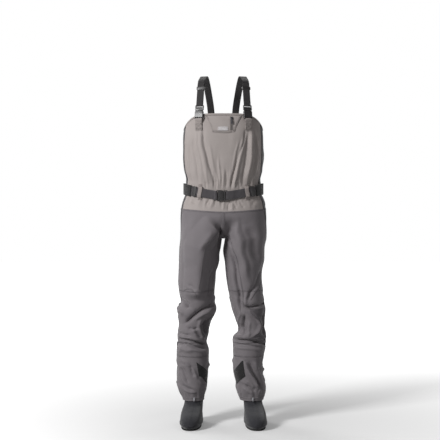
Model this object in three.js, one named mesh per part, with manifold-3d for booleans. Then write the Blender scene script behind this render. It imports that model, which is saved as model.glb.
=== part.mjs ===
// Chest waders: a breathable bib-and-leg shell with stockingfoot booties, gravel guards,
// quick-release shoulder straps and a wading belt, standing in their worn shape.
// Millimetres, +Z up. The wearer faces -Y, and the wearer's left is +X.
import * as THREE from 'three';
import { mergeVertices } from 'three/addons/utils/BufferGeometryUtils.js';
import Module from 'manifold-3d';

const wasm = await Module();
wasm.setup();

// ---------------------------------------------------------------- driving dimensions

const CLOTH = 2;              // laminated shell cloth, drawn thick enough to collide
const CLOTH_ROW = 24;         // height of one row of a trunk panel's mesh
const SEAM_GAP = 0.6;         // between two panels that are sewn edge to edge
const SIDE_LINE = 34.1;       // how far the body's side line lies behind the origin
const FIT = 0.4;              // clearance between two hard pieces, or cloth and hardware

// The trunk: height, half width, depth in front of the side line, depth behind it.
const TRUNK = [
  [838, 193, 118, 130],
  [900, 195, 124, 134],
  [960, 194, 126, 130],
  [1000, 187, 120, 116],
  [1036, 174, 111, 101],
  [1064, 174, 110, 100],
  [1088, 170, 111, 100],
  [1112, 166, 113, 103],
  [1150, 176, 120, 110],
  [1200, 181, 124, 116],
  [1290, 181, 124, 118],
  [1350, 176, 119, 114],
  [1410, 168, 113, 108],
];
const TRUNK_SQUARENESS = 2.45; // exponent of the trunk's oval: 2 is an ellipse

const FOOT_OUT = 139;         // from the centre line to the middle of a foot
const ANKLE_IN = 8;           // how much nearer the centre line the ankle's middle is

// One leg: height, how far its middle stands out from the centre line, half width,
// half depth and how far its middle lies behind the side line. The lower rows follow the foot.
const LEG = [
  [100, FOOT_OUT - 7, 49, 62, 8],
  [140, FOOT_OUT - 7, 57, 68, 12],
  [190, FOOT_OUT - 9, 66, 76, 16],
  [250, FOOT_OUT - 11, 70, 82, 18],
  [310, FOOT_OUT - 11, 74, 85, 14],
  [380, FOOT_OUT - 11, 72, 84, 8],
  [450, 122, 70, 82, 4],
  [520, 116, 77, 88, 0],
  [600, 112, 80, 94, 0],
  [700, 105, 89, 103, 2],
  [790, 101, 93, 110, 2],
  [838, 101, 93.5, 116, 2],
];
const LEG_SQUARENESS = 2.2;

const CROTCH_HEIGHT = 838;
const CROTCH_RISE = 115;      // height over which the two legs grow into the trunk
const GUSSET_WIDTH = 14;
const GUSSET_STEPS = 12;      // from the waist down to the crotch
const WAIST_SEAM = 971;       // side height of the seam between the bib and the legs
const KNEE_TOP = 605;
const KNEE_BOTTOM = 370;
const SIDE_SEAM = 64;         // degrees round from the front, where the bib meets the back

const BIB_TOP = 1398;
const UNDERARM_DIP = 62;      // how far the top edge falls under the arms
const UNDERARM_SPREAD = 26;   // degrees from the middle of that dip to where it eases off
const BACK_DIP = 22;          // how far the back's top edge stays below the bib's

const POCKET_INSET = 10;      // from the bib's top edge down to the pocket's
const POCKET_HEIGHT = 72;
const POCKET_HIGH = BIB_TOP - POCKET_INSET;
const POCKET_LOW = POCKET_HIGH - POCKET_HEIGHT;
const POCKET_X = 0;
const POCKET_HALF_LOW = 50;
const POCKET_HALF_HIGH = 82;
const POCKET_CLOTH = 1.4;
const ZIP_X = 36;
const ZIP_LENGTH = 56;
const ZIP_HIGH = POCKET_HIGH - 4;
const ZIP_LOW = ZIP_HIGH - ZIP_LENGTH;
const ZIP_HALF = 5;
const ZIP_THICKNESS = 1.6;
const SLIDER_HEIGHT = ZIP_HIGH - 8;
const SLIDER_GAP = 0.8;       // between the zip's teeth and its slider's back
const BADGE_X = -2;
const BADGE_LOW = POCKET_LOW + 6;
const BADGE_WIDTH = 46;
const BADGE_HEIGHT = 18;

const BELT_HEIGHT = 1064;     // at the sides
const BELT_DROOP = 31;        // how much lower the belt sits in front
const DROOP_ABOVE = 150;      // how far up and how far down the cloth follows the belt
const DROOP_BELOW = 105;
const BELT_WIDTH = 38;
const BELT_WEB = 2.2;         // webbing thickness
const BELT_OFF = 7;           // from the cloth to the middle of the belt
const BUCKLE_OFF = 10.5;      // the same at the buckle
const BELT_BACK_WIDTH = 50;
const BELT_BACK_FROM = 62;    // degrees round from the front, where the back section starts
const BELT_BACK_STEPS = 26;
const BELT_LOOP_ANGLE = 47;
const BELT_LOOP_WIDTH = 18;
const BELT_LOOP_LENGTH = 72;
const BELT_LOCK_ANGLE = 56;
const BELT_LOCK_LENGTH = 18;

const CHEST_HEIGHT = 1200;    // where the trunk is widest above the waist
const STRAP_X = 106;          // from the centre line, where a strap leaves the bib
const STRAP_WIDTH = 32;
const STRAP_WEB = 1.6;
const STRAP_LEAN = new THREE.Vector3(-0.06, 0.2, 1).normalize();
const TAB_LENGTH = 76;        // from the bib's top edge down to the end of the tab
const STRAP_RUN = 128;        // from the buckle's mouth to the top of the doubled webbing
const BUCKLE_CLEAR = 6.2;     // from the bib's face at its edge to the buckle's mid plane
const MOUTH_RISE = 12;        // from the bib's top edge up to the buckle's mouth
const MOUTH_HEIGHT = BIB_TOP + MOUTH_RISE;
const CREST_RISE = 175;       // from the bib's top edge up to the top of the shoulder
const CREST_HEIGHT = BIB_TOP + CREST_RISE;
const KEEPER_PLACE = 104;     // from the buckle's mouth, along the strap
const KEEPER_LENGTH = 15;
const SHOULDER_STEPS = 24;    // along the strap over the shoulder
const YOKE_WIDTH = 48;
const YOKE_HIGH = BIB_TOP - BACK_DIP;
const YOKE_LOW = YOKE_HIGH - YOKE_WIDTH;
const YOKE_HALF = 70;
const YOKE_HALF_LOW = 56;
const YOKE_OFF = 4.2;         // from the back's cloth to the yoke, with the straps between
const YOKE_THICKNESS = 1.4;

const GUARD_TOP = 310;
const GUARD_HEM = 108;
const GUARD_EASE = 1.5;       // from the leg's own line out to the guard's inner face
const HEM_BAND = 16;
const HEM_THICKNESS = 1.2;
const CALF_SLIM = 12;         // how much slimmer the leg is inside the guard
const SLIM_FADE = 50;         // height over which it slims
const ANKLE_JOIN = 176;       // the lower end of the leg's cloth
const KICK_LOW = 172;
const KICK_HIGH = 290;
const KICK_TURN = -70;        // degrees round the leg, from the front, of the patch's middle
const KICK_HALF = 56;         // half its width, in the same degrees
const KICK_BLUNT = 0.12;      // how blunt its lower corner is, as a share of its height
const KICK_SPAN = 0.8;        // the share of a full arch that its sides follow
const HOOK_LENGTH = 17;

const NEOPRENE = 4;
const SOLE_THICKNESS = 4;
const SOLE_RIM = 1.5;         // how far the sole stands out past the sock above it
const SOLE_SIDES = 28;
const FOOT_SQUARENESS = 0.88; // exponent of its outline: 1 is an ellipse, less is squarer
const FOOT_TURN = 3;          // degrees that each foot points outwards

// The stocking foot: height, how far its middle lies behind the side line, half width,
// half length.
const FOOT = [
  [4.5, -62, 43, 127],
  [20, -63, 49, 138],
  [40, -60, 49, 136],
  [58, -46, 47, 120],
  [73, -24, 45, 96],
  [88, -4, 43, 74],
  [112, 9, 42, 56],
  [150, 13, 44, 53],
  [187, 15, 47, 56],
];

// ---------------------------------------------------------------- materials

function finish(hex, roughness, metalness = 0) {
  return new THREE.MeshStandardMaterial({ color: hex, roughness, metalness });
}
const MATERIAL = {
  bibCloth: finish(0x9b928e, 0.8),
  legCloth: finish(0x6f6b6f, 0.8),
  backCloth: finish(0x5b585b, 0.8),
  kickCloth: finish(0x1c1a1b, 0.85),
  neoprene: finish(0x26262a, 0.9),
  soleRubber: finish(0x1b1b1c, 0.75),
  strapWeb: finish(0x262427, 0.85),
  beltWeb: finish(0x4a484b, 0.85),
  backWeb: finish(0x1e1d1f, 0.85),
  loopWeb: finish(0x918a88, 0.85),
  hardware: finish(0x1a191a, 0.45),
  zipTape: finish(0x4d4a4b, 0.7),
  zipMetal: finish(0x55555a, 0.35, 0.8),
  badge: finish(0xc9c6c8, 0.7),
  hookSteel: finish(0x6d6d72, 0.35, 0.9),
};

// ---------------------------------------------------------------- numbers and curves

const rad = THREE.MathUtils.degToRad;
const lerp = THREE.MathUtils.lerp;
const clamp = THREE.MathUtils.clamp;

// Smooth values between the rows of a table whose first column rises.
function between(table, at) {
  const last = table.length - 2;
  let k = table.findIndex((row) => row[0] > at) - 1;
  if (k < 0) k = at <= table[0][0] ? 0 : last;
  const rows = [table[Math.max(k - 1, 0)], table[k], table[k + 1], table[Math.min(k + 2, last + 1)]];
  const [h0, h1, h2, h3] = rows.map((row) => row[0]);
  const t = clamp((at - h1) / (h2 - h1), 0, 1);
  return rows[1].slice(1).map((_, i) => {
    const [v0, v1, v2, v3] = rows.map((row) => row[i + 1]);
    const span = h2 - h1;
    const m1 = ((v2 - v0) / Math.max(h2 - h0, 1)) * span;
    const m2 = ((v3 - v1) / Math.max(h3 - h1, 1)) * span;
    const t2 = t * t;
    const t3 = t2 * t;
    return (2 * t3 - 3 * t2 + 1) * v1 + (t3 - 2 * t2 + t) * m1 + (3 * t2 - 2 * t3) * v2 + (t3 - t2) * m2;
  });
}

// Distance from the middle of an oval to its edge. Angle 0 is the front.
function ovalRadius(angle, halfWidth, halfDepth, squareness) {
  const across = Math.abs(Math.sin(angle) / halfWidth) ** squareness;
  const along = Math.abs(Math.cos(angle) / halfDepth) ** squareness;
  return (across + along) ** (-1 / squareness);
}

// The belt line hangs lower in front, and the cloth near it follows.
function droop(angle, height) {
  const reach = height > BELT_HEIGHT ? DROOP_ABOVE : DROOP_BELOW;
  const facing = Math.max(Math.cos(angle), 0) ** 1.5;
  return BELT_DROOP * facing * Math.exp(-(((height - BELT_HEIGHT) / reach) ** 2));
}

function trunkPoint(angle, height) {
  const [halfWidth, front, back] = between(TRUNK, height);
  const depth = Math.cos(angle) > 0 ? front : back;
  const r = ovalRadius(angle, halfWidth, depth, TRUNK_SQUARENESS);
  return new THREE.Vector3(r * Math.sin(angle), -r * Math.cos(angle), height - droop(angle, height));
}

// A point on the wearer's left leg. Angle -90 is the inseam, 0 the front, 90 the outer side.
function legOval(angle, height, slim = 0) {
  const [middle, halfWidth, halfDepth, behind] = between(LEG, height);
  const r = ovalRadius(angle, halfWidth - slim, halfDepth - slim, LEG_SQUARENESS);
  return new THREE.Vector3(middle + r * Math.sin(angle), behind - r * Math.cos(angle), height);
}

// The leg keeps to a slimmer line where the guard covers it.
function slimAt(height) {
  return CALF_SLIM * THREE.MathUtils.smoothstep(GUARD_TOP + CALF_SLIM - height, 0, SLIM_FADE);
}

// Half the gap between two leg panels, as a share of a panel's own width.
const PANEL_TURN = 0.0018;

// The leg's outside, which grows into the trunk above the crotch. across runs from the
// inner edge (0) to the outer side (1), and facing is 1 in front and -1 behind.
function legPoint(across, height, facing) {
  const inset = lerp(PANEL_TURN, 1 - PANEL_TURN, across);
  const onLeg = legOval(rad(facing > 0 ? 180 * inset - 90 : 270 - 180 * inset), height, slimAt(height));
  const risen = clamp((height - CROTCH_HEIGHT) / CROTCH_RISE, 0, 1);
  if (risen === 0) return onLeg;
  const quarter = lerp(0, 1 - PANEL_TURN, across);
  const angle = rad(facing > 0 ? 90 * quarter : 180 - 90 * quarter);
  const onTrunk = trunkPoint(angle, height);
  const edge = GUSSET_WIDTH / 2 + SEAM_GAP;
  onTrunk.x = edge + onTrunk.x * (1 - edge / TRUNK[0][1]);
  return onLeg.lerp(onTrunk, Math.sqrt(1 - (1 - risen) ** 2));
}

// Height of the bib's and the back's top edge at an angle from the front.
function topEdge(angle) {
  const round = Math.abs(angle);
  const dip = Math.exp(-(((round - rad(90)) / rad(UNDERARM_SPREAD)) ** 2)) * UNDERARM_DIP;
  const behind = THREE.MathUtils.smoothstep(round, rad(100), rad(180)) * BACK_DIP;
  return BIB_TOP - dip - behind;
}

// ---------------------------------------------------------------- cloth and webbing

function indexed(points, triangles) {
  const geometry = new THREE.BufferGeometry().setFromPoints(points);
  geometry.setIndex(triangles);
  return geometry;
}

// The outward normal of a surface whose u runs to the viewer's right and v upwards.
function normalOf(surface, u, v) {
  const d = 1e-3;
  const alongU = surface(u + d, v).sub(surface(u - d, v));
  const alongV = surface(u, v + d).sub(surface(u, v - d));
  return alongU.cross(alongV).normalize();
}

// A closed solid between two skins of one surface, for u and v from 0 to 1. low and high
// are the skins' distances out from the surface. A wrapped sheet is a tube round u.
function sheet(surface, columns, rows, low, high, wrapped = false) {
  const points = [];
  for (const out of [high, low]) {
    for (let j = 0; j <= rows; j++) {
      for (let i = 0; i < columns + (wrapped ? 0 : 1); i++) {
        const [u, v] = [i / columns, j / rows];
        points.push(surface(u, v).addScaledVector(normalOf(surface, u, v), out));
      }
    }
  }
  const wide = columns + (wrapped ? 0 : 1);
  const skin = wide * (rows + 1);
  const at = (side, i, j) => side * skin + j * wide + (i % wide);
  const triangles = [];
  const quad = (a, b, c, d) => triangles.push(a, b, c, a, c, d);
  for (let j = 0; j < rows; j++) {
    for (let i = 0; i < columns; i++) {
      quad(at(0, i, j), at(0, i + 1, j), at(0, i + 1, j + 1), at(0, i, j + 1));
      quad(at(1, i, j + 1), at(1, i + 1, j + 1), at(1, i + 1, j), at(1, i, j));
    }
  }
  for (let i = 0; i < columns; i++) {
    quad(at(1, i, 0), at(1, i + 1, 0), at(0, i + 1, 0), at(0, i, 0));
    quad(at(0, i, rows), at(0, i + 1, rows), at(1, i + 1, rows), at(1, i, rows));
  }
  if (!wrapped) {
    for (let j = 0; j < rows; j++) {
      quad(at(0, 0, j + 1), at(1, 0, j + 1), at(1, 0, j), at(0, 0, j));
      quad(at(0, columns, j), at(1, columns, j), at(1, columns, j + 1), at(0, columns, j + 1));
    }
  }
  return indexed(points, triangles);
}

// Flat webbing swept along a path. Its width lies along the given directions.
function ribbon(path, widthAt, width, thickness) {
  const points = [];
  path.forEach((point, k) => {
    const before = path[Math.max(k - 1, 0)];
    const after = path[Math.min(k + 1, path.length - 1)];
    const along = after.clone().sub(before).normalize();
    const across = widthAt(k).clone().normalize();
    const out = along.clone().cross(across).normalize();
    for (const [w, t] of [[-1, -1], [1, -1], [1, 1], [-1, 1]]) {
      points.push(point.clone()
        .addScaledVector(across, (w * width) / 2)
        .addScaledVector(out, (t * thickness) / 2));
    }
  });
  const triangles = [];
  for (let k = 0; k + 1 < path.length; k++) {
    for (let c = 0; c < 4; c++) {
      const [a, b] = [4 * k + c, 4 * k + ((c + 1) % 4)];
      triangles.push(a, b, b + 4, a, b + 4, a + 4);
    }
  }
  const end = 4 * (path.length - 1);
  triangles.push(0, 2, 1, 0, 3, 2, end, end + 1, end + 2, end, end + 2, end + 3);
  return indexed(points, triangles);
}

// ---------------------------------------------------------------- moulded hardware

function toSolid(geometry) {
  const bare = geometry.clone();
  for (const name of Object.keys(bare.attributes)) {
    if (name !== 'position') bare.deleteAttribute(name);
  }
  const merged = mergeVertices(bare, 1e-4);
  return new wasm.Manifold(new wasm.Mesh({
    numProp: 3,
    vertProperties: new Float32Array(merged.attributes.position.array),
    triVerts: new Uint32Array(merged.index.array),
  }));
}

function toGeometry(solid) {
  const mesh = solid.getMesh();
  return new THREE.BufferGeometry()
    .setAttribute('position', new THREE.BufferAttribute(mesh.vertProperties, 3))
    .setIndex(new THREE.BufferAttribute(mesh.triVerts, 1));
}

// A block from one corner to the other.
function block(low, high) {
  const size = high.map((value, i) => value - low[i]);
  const box = new THREE.BoxGeometry(...size);
  box.translate(...high.map((value, i) => (value + low[i]) / 2));
  return toSolid(box);
}

// A plate with rounded corners and softened edges, its thickness centred on Z.
function plate(x0, y0, x1, y1, corner, thickness, bevel) {
  const r = corner;
  const shape = new THREE.Shape();
  const [a, b, c, d] = [x0 + bevel, y0 + bevel, x1 - bevel, y1 - bevel];
  shape.moveTo(a + r, b);
  shape.lineTo(c - r, b);
  shape.absarc(c - r, b + r, r, -Math.PI / 2, 0);
  shape.lineTo(c, d - r);
  shape.absarc(c - r, d - r, r, 0, Math.PI / 2);
  shape.lineTo(a + r, d);
  shape.absarc(a + r, d - r, r, Math.PI / 2, Math.PI);
  shape.lineTo(a, b + r);
  shape.absarc(a + r, b + r, r, Math.PI, Math.PI * 1.5);
  const geometry = new THREE.ExtrudeGeometry(shape, {
    depth: thickness - 2 * bevel, bevelSize: bevel, bevelThickness: bevel, bevelSegments: 1, curveSegments: 2,
  });
  geometry.translate(0, 0, -thickness / 2 + bevel);
  return toSolid(geometry);
}

// A side-release buckle in its own frame: the pull-out direction is +Y, the outside is +Z.
// Its sizes: width and thickness over all, width of its webbing, lengths of the housing,
// the stem and the prongs, and the thickness of its webbing bars.
const BUCKLE_SIDES = 8;       // how much wider a buckle is than its webbing
const BIB_BUCKLE = {
  width: STRAP_WIDTH + BUCKLE_SIDES, thickness: 10, web: STRAP_WIDTH,
  housing: 40, stem: 26, reach: 27, bar: 2.6,
};
const BELT_BUCKLE = {
  width: BELT_WIDTH + BUCKLE_SIDES, thickness: 12, web: BELT_WIDTH,
  housing: 34, stem: 17, reach: 21, bar: 3,
};
const PRONG_THICKNESS = 4.2;
const PRONG_ROOM = 5;         // between the tongue and a prong
const PRONG_WIDTH = 5;
const PRONG_CLEAR = 1;        // between a prong's face and the housing's wall
const TONGUE_HALF = 3;
const MOUTH_GAP = 0.7;
const BAR_INSET = 3;          // from a half's outer end to the middle of its webbing bar
const SLOT = 5;               // length of the slot inside the bar
const BAR_END = 9;            // how far the clear space beside the bar runs past it
const PAST = 20;              // a cut's reach beyond the piece that it cuts
const PRONG_SIDE = 0.6;       // how far a prong stays inside the buckle's side

function webSlot(buckle, barAt, inwards) {
  const half = buckle.web / 2 + 1;
  const near = barAt + (inwards * buckle.bar) / 2;
  const far = near + inwards * SLOT;
  const ends = [Math.min(near, far), Math.max(near, far)];
  const end = barAt - inwards * BAR_END;
  const reach = [Math.min(end, far), Math.max(end, far)];
  const slot = block([-half, ends[0], -PAST], [half, ends[1], PAST]);
  const over = block([-half, reach[0], buckle.bar / 2], [half, reach[1], PAST]);
  const under = block([-half, reach[0], -PAST], [half, reach[1], -buckle.bar / 2]);
  return slot.add(over).add(under);
}

function buckleHousing(buckle) {
  const half = buckle.width / 2;
  const room = PRONG_THICKNESS / 2 + PRONG_CLEAR;
  const body = plate(-half, -buckle.housing, half, 0, 5, buckle.thickness, 1.2);
  const cavity = block([-half - 1, -buckle.reach - 1.5, -room], [half + 1, 1, room]);
  return toGeometry(body.subtract(cavity).subtract(webSlot(buckle, BAR_INSET - buckle.housing, 1)));
}

function buckleStem(buckle) {
  const half = buckle.width / 2;
  const tongue = block([-TONGUE_HALF, -buckle.reach, -PRONG_THICKNESS / 2],
    [TONGUE_HALF, MOUTH_GAP + 2, PRONG_THICKNESS / 2]);
  const body = plate(-half, MOUTH_GAP, half, buckle.stem, 3, buckle.thickness - 2, 1);
  return toGeometry(body.subtract(webSlot(buckle, buckle.stem - BAR_INSET, -1)).add(tongue));
}

// One springy prong on the +X side, hinged where it leaves the stem.
function buckleProng(buckle) {
  const outer = buckle.width / 2 - PRONG_SIDE;
  const inner = TONGUE_HALF + PRONG_ROOM;
  const root = MOUTH_GAP - FIT;
  const tip = -buckle.reach;
  const shape = new THREE.Shape();
  shape.moveTo(inner, root);
  shape.lineTo(inner, tip + 4);
  shape.quadraticCurveTo(inner, tip, inner + 4, tip);
  shape.quadraticCurveTo(outer - 3, tip, outer, tip + 10);
  shape.lineTo(outer, -10);
  shape.lineTo(outer - 3, -7.5);
  shape.lineTo(inner + PRONG_WIDTH, -6);
  shape.lineTo(inner + PRONG_WIDTH, root);
  const geometry = new THREE.ExtrudeGeometry(shape, {
    depth: PRONG_THICKNESS, bevelEnabled: false, curveSegments: 4,
  });
  geometry.translate(0, 0, -PRONG_THICKNESS / 2);
  return toSolid(geometry);
}

// A frame that webbing is threaded through, lying along Y. layers are the heights of its
// webbing layers, and what is left between two of them is the bar that grips.
function keeper(webWidth, webThickness, layers, length, rail, skin, slack = FIT) {
  const half = webWidth / 2 + rail;
  const inside = webWidth / 2 + FIT;
  const top = Math.max(...layers) + webThickness / 2 + slack;
  let body = plate(-half, -length / 2, half, length / 2, 2, 2 * (top + skin), 0.8);
  for (const layer of layers) {
    const room = webThickness / 2 + slack;
    body = body.subtract(block([-inside, -length, layer - room], [inside, length, layer + room]));
  }
  return toGeometry(body);
}

// ---------------------------------------------------------------- assembly

const waders = new THREE.Group();
waders.position.y = SIDE_LINE;

function add(name, geometry, material, place = new THREE.Matrix4(), parent = waders) {
  const mesh = new THREE.Mesh(geometry, material);
  mesh.name = name;
  mesh.applyMatrix4(place);
  parent.add(mesh);
}

const mirrored = new THREE.Group();
mirrored.scale.x = -1;
waders.add(mirrored);

// The wearer's left piece, and its mirror image on the right.
function addPair(name, geometry, material, place) {
  add(name + '_left', geometry, material, place);
  add(name + '_right', geometry, material, place, mirrored);
}

// ---- bib and back

const bibEdge = rad(SIDE_SEAM);
const backEdge = bibEdge + (1.5 * SEAM_GAP) / TRUNK[0][1];

function bibSurface(u, v) {
  const angle = lerp(-bibEdge, bibEdge, u);
  return trunkPoint(angle, lerp(WAIST_SEAM, topEdge(angle), v));
}
function backSurface(u, v) {
  const angle = lerp(backEdge, 2 * Math.PI - backEdge, u);
  const round = angle > Math.PI ? angle - 2 * Math.PI : angle;
  return trunkPoint(round, lerp(WAIST_SEAM, topEdge(round), v));
}
const bibRows = Math.ceil((BIB_TOP - WAIST_SEAM) / CLOTH_ROW);
const backRows = Math.floor((BIB_TOP - BACK_DIP - WAIST_SEAM) / CLOTH_ROW);
add('bib_front_panel', sheet(bibSurface, 12, bibRows, -CLOTH, 0), MATERIAL.bibCloth);
add('bib_back_panel', sheet(backSurface, 16, backRows, -CLOTH, 0), MATERIAL.backCloth);

// The trunk's face at a distance x from the centre line: facing 1 is the front.
function facePoint(x, height, facing) {
  const [halfWidth, front, back] = between(TRUNK, height);
  const depth = (1 - Math.abs(x / halfWidth) ** TRUNK_SQUARENESS) ** (1 / TRUNK_SQUARENESS);
  const y = facing > 0 ? -front * depth : back * depth;
  return new THREE.Vector3(x, y, height - droop(Math.atan2(x, -y), height));
}

// A patch laid on the trunk's face, with its own half width at its lower and upper edge.
function facePatch(middle, low, high, halfLow, halfHigh, facing = 1) {
  return (u, v) => {
    const x = middle + facing * (2 * u - 1) * lerp(halfLow, halfHigh, v);
    return facePoint(x, lerp(low, high, v), facing);
  };
}

// Where a place on the trunk's front is, with Z out of the cloth and Y up along it.
function faceFrame(x, height, out) {
  const surface = facePatch(x, height - 5, height + 5, 5, 5);
  const z = normalOf(surface, 0.5, 0.5);
  const up = surface(0.5, 1).sub(surface(0.5, 0)).normalize();
  const across = up.clone().cross(z).normalize();
  const at = surface(0.5, 0.5).addScaledVector(z, out);
  return new THREE.Matrix4().makeBasis(across, z.clone().cross(across), z).setPosition(at);
}

// ---- stash pocket

const pocketFace = SEAM_GAP + POCKET_CLOTH;
const pocket = facePatch(POCKET_X, POCKET_LOW, POCKET_HIGH, POCKET_HALF_LOW, POCKET_HALF_HIGH);
add('stash_pocket', sheet(pocket, 10, 4, SEAM_GAP, pocketFace), MATERIAL.bibCloth);

const trimBack = pocketFace + FIT;
const zipFace = trimBack + ZIP_THICKNESS;
const zip = facePatch(ZIP_X, ZIP_LOW, ZIP_HIGH, ZIP_HALF, ZIP_HALF);
add('stash_zip', sheet(zip, 2, 4, trimBack, zipFace), MATERIAL.zipTape);

const badge = facePatch(BADGE_X, BADGE_LOW, BADGE_LOW + BADGE_HEIGHT, BADGE_WIDTH / 2, BADGE_WIDTH / 2);
add('chest_badge', sheet(badge, 4, 1, trimBack, trimBack + 1), MATERIAL.badge);

// In the slider's own frame the pull turns on a line 2 mm below the middle, 4.9 mm out.
const SLIDER_THICKNESS = 3;
const PULL_OUT = 4.9;
const PULL_LENGTH = 26;
const sliderPlace = faceFrame(ZIP_X, SLIDER_HEIGHT, zipFace + SLIDER_GAP);
const sliderBody = plate(-4, -5.5, 4, 5.5, 1.5, SLIDER_THICKNESS, 0.5)
  .translate([0, 0, SLIDER_THICKNESS / 2]);
const pullPosts = block([-2.9, -3, 2.5], [-1.9, -1, 6]).add(block([1.9, -3, 2.5], [2.9, -1, 6]));
add('stash_zip_slider', toGeometry(sliderBody.add(pullPosts)), MATERIAL.zipMetal, sliderPlace);
const pullEye = plate(-1.4, -14, 1.4, -0.8, 1, 1.4, 0.3);
const pullGrip = plate(-3.2, -PULL_LENGTH, 3.2, -9, 2, 2, 0.5);
const pull = toGeometry(pullEye.add(pullGrip).translate([0, 0, PULL_OUT]));
add('stash_zip_pull', pull, MATERIAL.zipMetal, sliderPlace);

// ---- legs

// A panel of the left leg between two heights: facing 1 is in front and -1 behind.
function legPanel(low, high, facing) {
  return (u, v) => legPoint(facing > 0 ? u : 1 - u, lerp(low, high, v), facing);
}
function legSheet(low, high, facing, columns, rows) {
  return sheet(legPanel(low, high, facing), columns, rows, -CLOTH, 0);
}
const legTop = WAIST_SEAM - SEAM_GAP;
addPair('thigh_front', legSheet(KNEE_TOP + SEAM_GAP, legTop, 1, 9, 9), MATERIAL.legCloth);
addPair('thigh_back', legSheet(KNEE_TOP + SEAM_GAP, legTop, -1, 9, 9), MATERIAL.backCloth);
addPair('knee_panel', legSheet(KNEE_BOTTOM + SEAM_GAP, KNEE_TOP, 1, 8, 5), MATERIAL.legCloth);
addPair('shin_front', legSheet(ANKLE_JOIN, KNEE_BOTTOM, 1, 8, 5), MATERIAL.legCloth);
addPair('calf_back', legSheet(ANKLE_JOIN, KNEE_TOP, -1, 8, 9), MATERIAL.backCloth);

// The strip that joins the two legs, from the front of the waist under the crotch and up.
function gussetPath() {
  const path = [];
  const rise = WAIST_SEAM - SEAM_GAP - CROTCH_HEIGHT;
  const step = (facing, s) => {
    const point = legPoint(0, CROTCH_HEIGHT + rise * s * s, facing);
    path.push(point.setX(0));
  };
  for (let k = GUSSET_STEPS; k >= 1; k--) step(1, k / GUSSET_STEPS);
  for (let k = 1; k <= GUSSET_STEPS; k++) step(-1, k / GUSSET_STEPS);
  return path;
}
const gusset = ribbon(gussetPath(), () => new THREE.Vector3(1, 0, 0), GUSSET_WIDTH, CLOTH);
add('crotch_gusset', gusset, MATERIAL.legCloth);

// ---- gravel guards

function guardPoint(turn, height) {
  return legOval(rad(turn), height, -GUARD_EASE);
}
function guardHalf(facing) {
  const from = facing > 0 ? -90 : 90;
  return (u, v) => {
    const turn = from + 180 * lerp(PANEL_TURN, 1 - PANEL_TURN, u);
    return guardPoint(turn, lerp(GUARD_HEM, GUARD_TOP, v));
  };
}
addPair('guard_front', sheet(guardHalf(1), 9, 4, 0, CLOTH), MATERIAL.legCloth);
addPair('guard_back', sheet(guardHalf(-1), 9, 4, 0, CLOTH), MATERIAL.backCloth);

const guardFace = CLOTH + 2 * FIT;
const hemSurface = (u, v) => guardPoint(360 * u - 90, GUARD_HEM + HEM_BAND * v);
const hem = sheet(hemSurface, 18, 1, guardFace, guardFace + HEM_THICKNESS, true);
addPair('guard_hem', hem, MATERIAL.legCloth);

const patchFace = guardFace + 4 * FIT;

// A kite-shaped patch on the inner side, widest above its middle.
function kickSurface(u, v) {
  const spread = KICK_HALF * Math.sin(Math.PI * (KICK_BLUNT + KICK_SPAN * v)) ** 0.8;
  return guardPoint(KICK_TURN + (2 * u - 1) * spread, lerp(KICK_LOW, KICK_HIGH, v));
}
addPair('kick_patch', sheet(kickSurface, 8, 6, patchFace, patchFace + HEM_THICKNESS), MATERIAL.kickCloth);

// The hook that catches a boot's laces, hanging at the front of the hem.
function laceHook() {
  const shape = new THREE.Shape();
  shape.moveTo(-0.6, 1);
  shape.lineTo(-0.6, 2 - HOOK_LENGTH);
  shape.lineTo(1.5, -HOOK_LENGTH);
  shape.lineTo(5, -HOOK_LENGTH);
  shape.lineTo(6.5, 3 - HOOK_LENGTH);
  shape.lineTo(5.3, 3.4 - HOOK_LENGTH);
  shape.lineTo(4.3, 1.2 - HOOK_LENGTH);
  shape.lineTo(2, 1.2 - HOOK_LENGTH);
  shape.lineTo(0.6, 2.6 - HOOK_LENGTH);
  shape.lineTo(0.6, 1);
  const geometry = new THREE.ExtrudeGeometry(shape, { depth: 7, bevelEnabled: false });
  geometry.translate(0, 0, -3.5);
  return geometry;
}
const hookTop = guardPoint(0, GUARD_HEM + HEM_BAND);
hookTop.y -= guardFace + HEM_THICKNESS + 3;
const hookPlace = new THREE.Matrix4()
  .makeBasis(new THREE.Vector3(0, -1, 0), new THREE.Vector3(0, 0, 1), new THREE.Vector3(-1, 0, 0))
  .setPosition(hookTop);
addPair('lace_hook', laceHook(), MATERIAL.hookSteel, hookPlace);

// ---- stocking feet

// A foot's outline at a height, wider towards the toes. Angle 0 is the toe end.
function footPoint(angle, height, grow = 0) {
  const [behind, halfWidth, halfLength] = between(FOOT, height);
  const bend = (value) => Math.sign(value) * Math.abs(value) ** FOOT_SQUARENESS;
  const x = (halfWidth + grow) * bend(Math.sin(angle));
  const y = behind - (halfLength + grow) * bend(Math.cos(angle));
  const low = 1 - THREE.MathUtils.smoothstep(height, 50, 100);
  const spread = 1 + 0.1 * low * Math.cos(angle);
  const shift = ANKLE_IN * THREE.MathUtils.smoothstep(height, 40, 150);
  return new THREE.Vector3(x * spread - shift, y, height);
}

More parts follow.
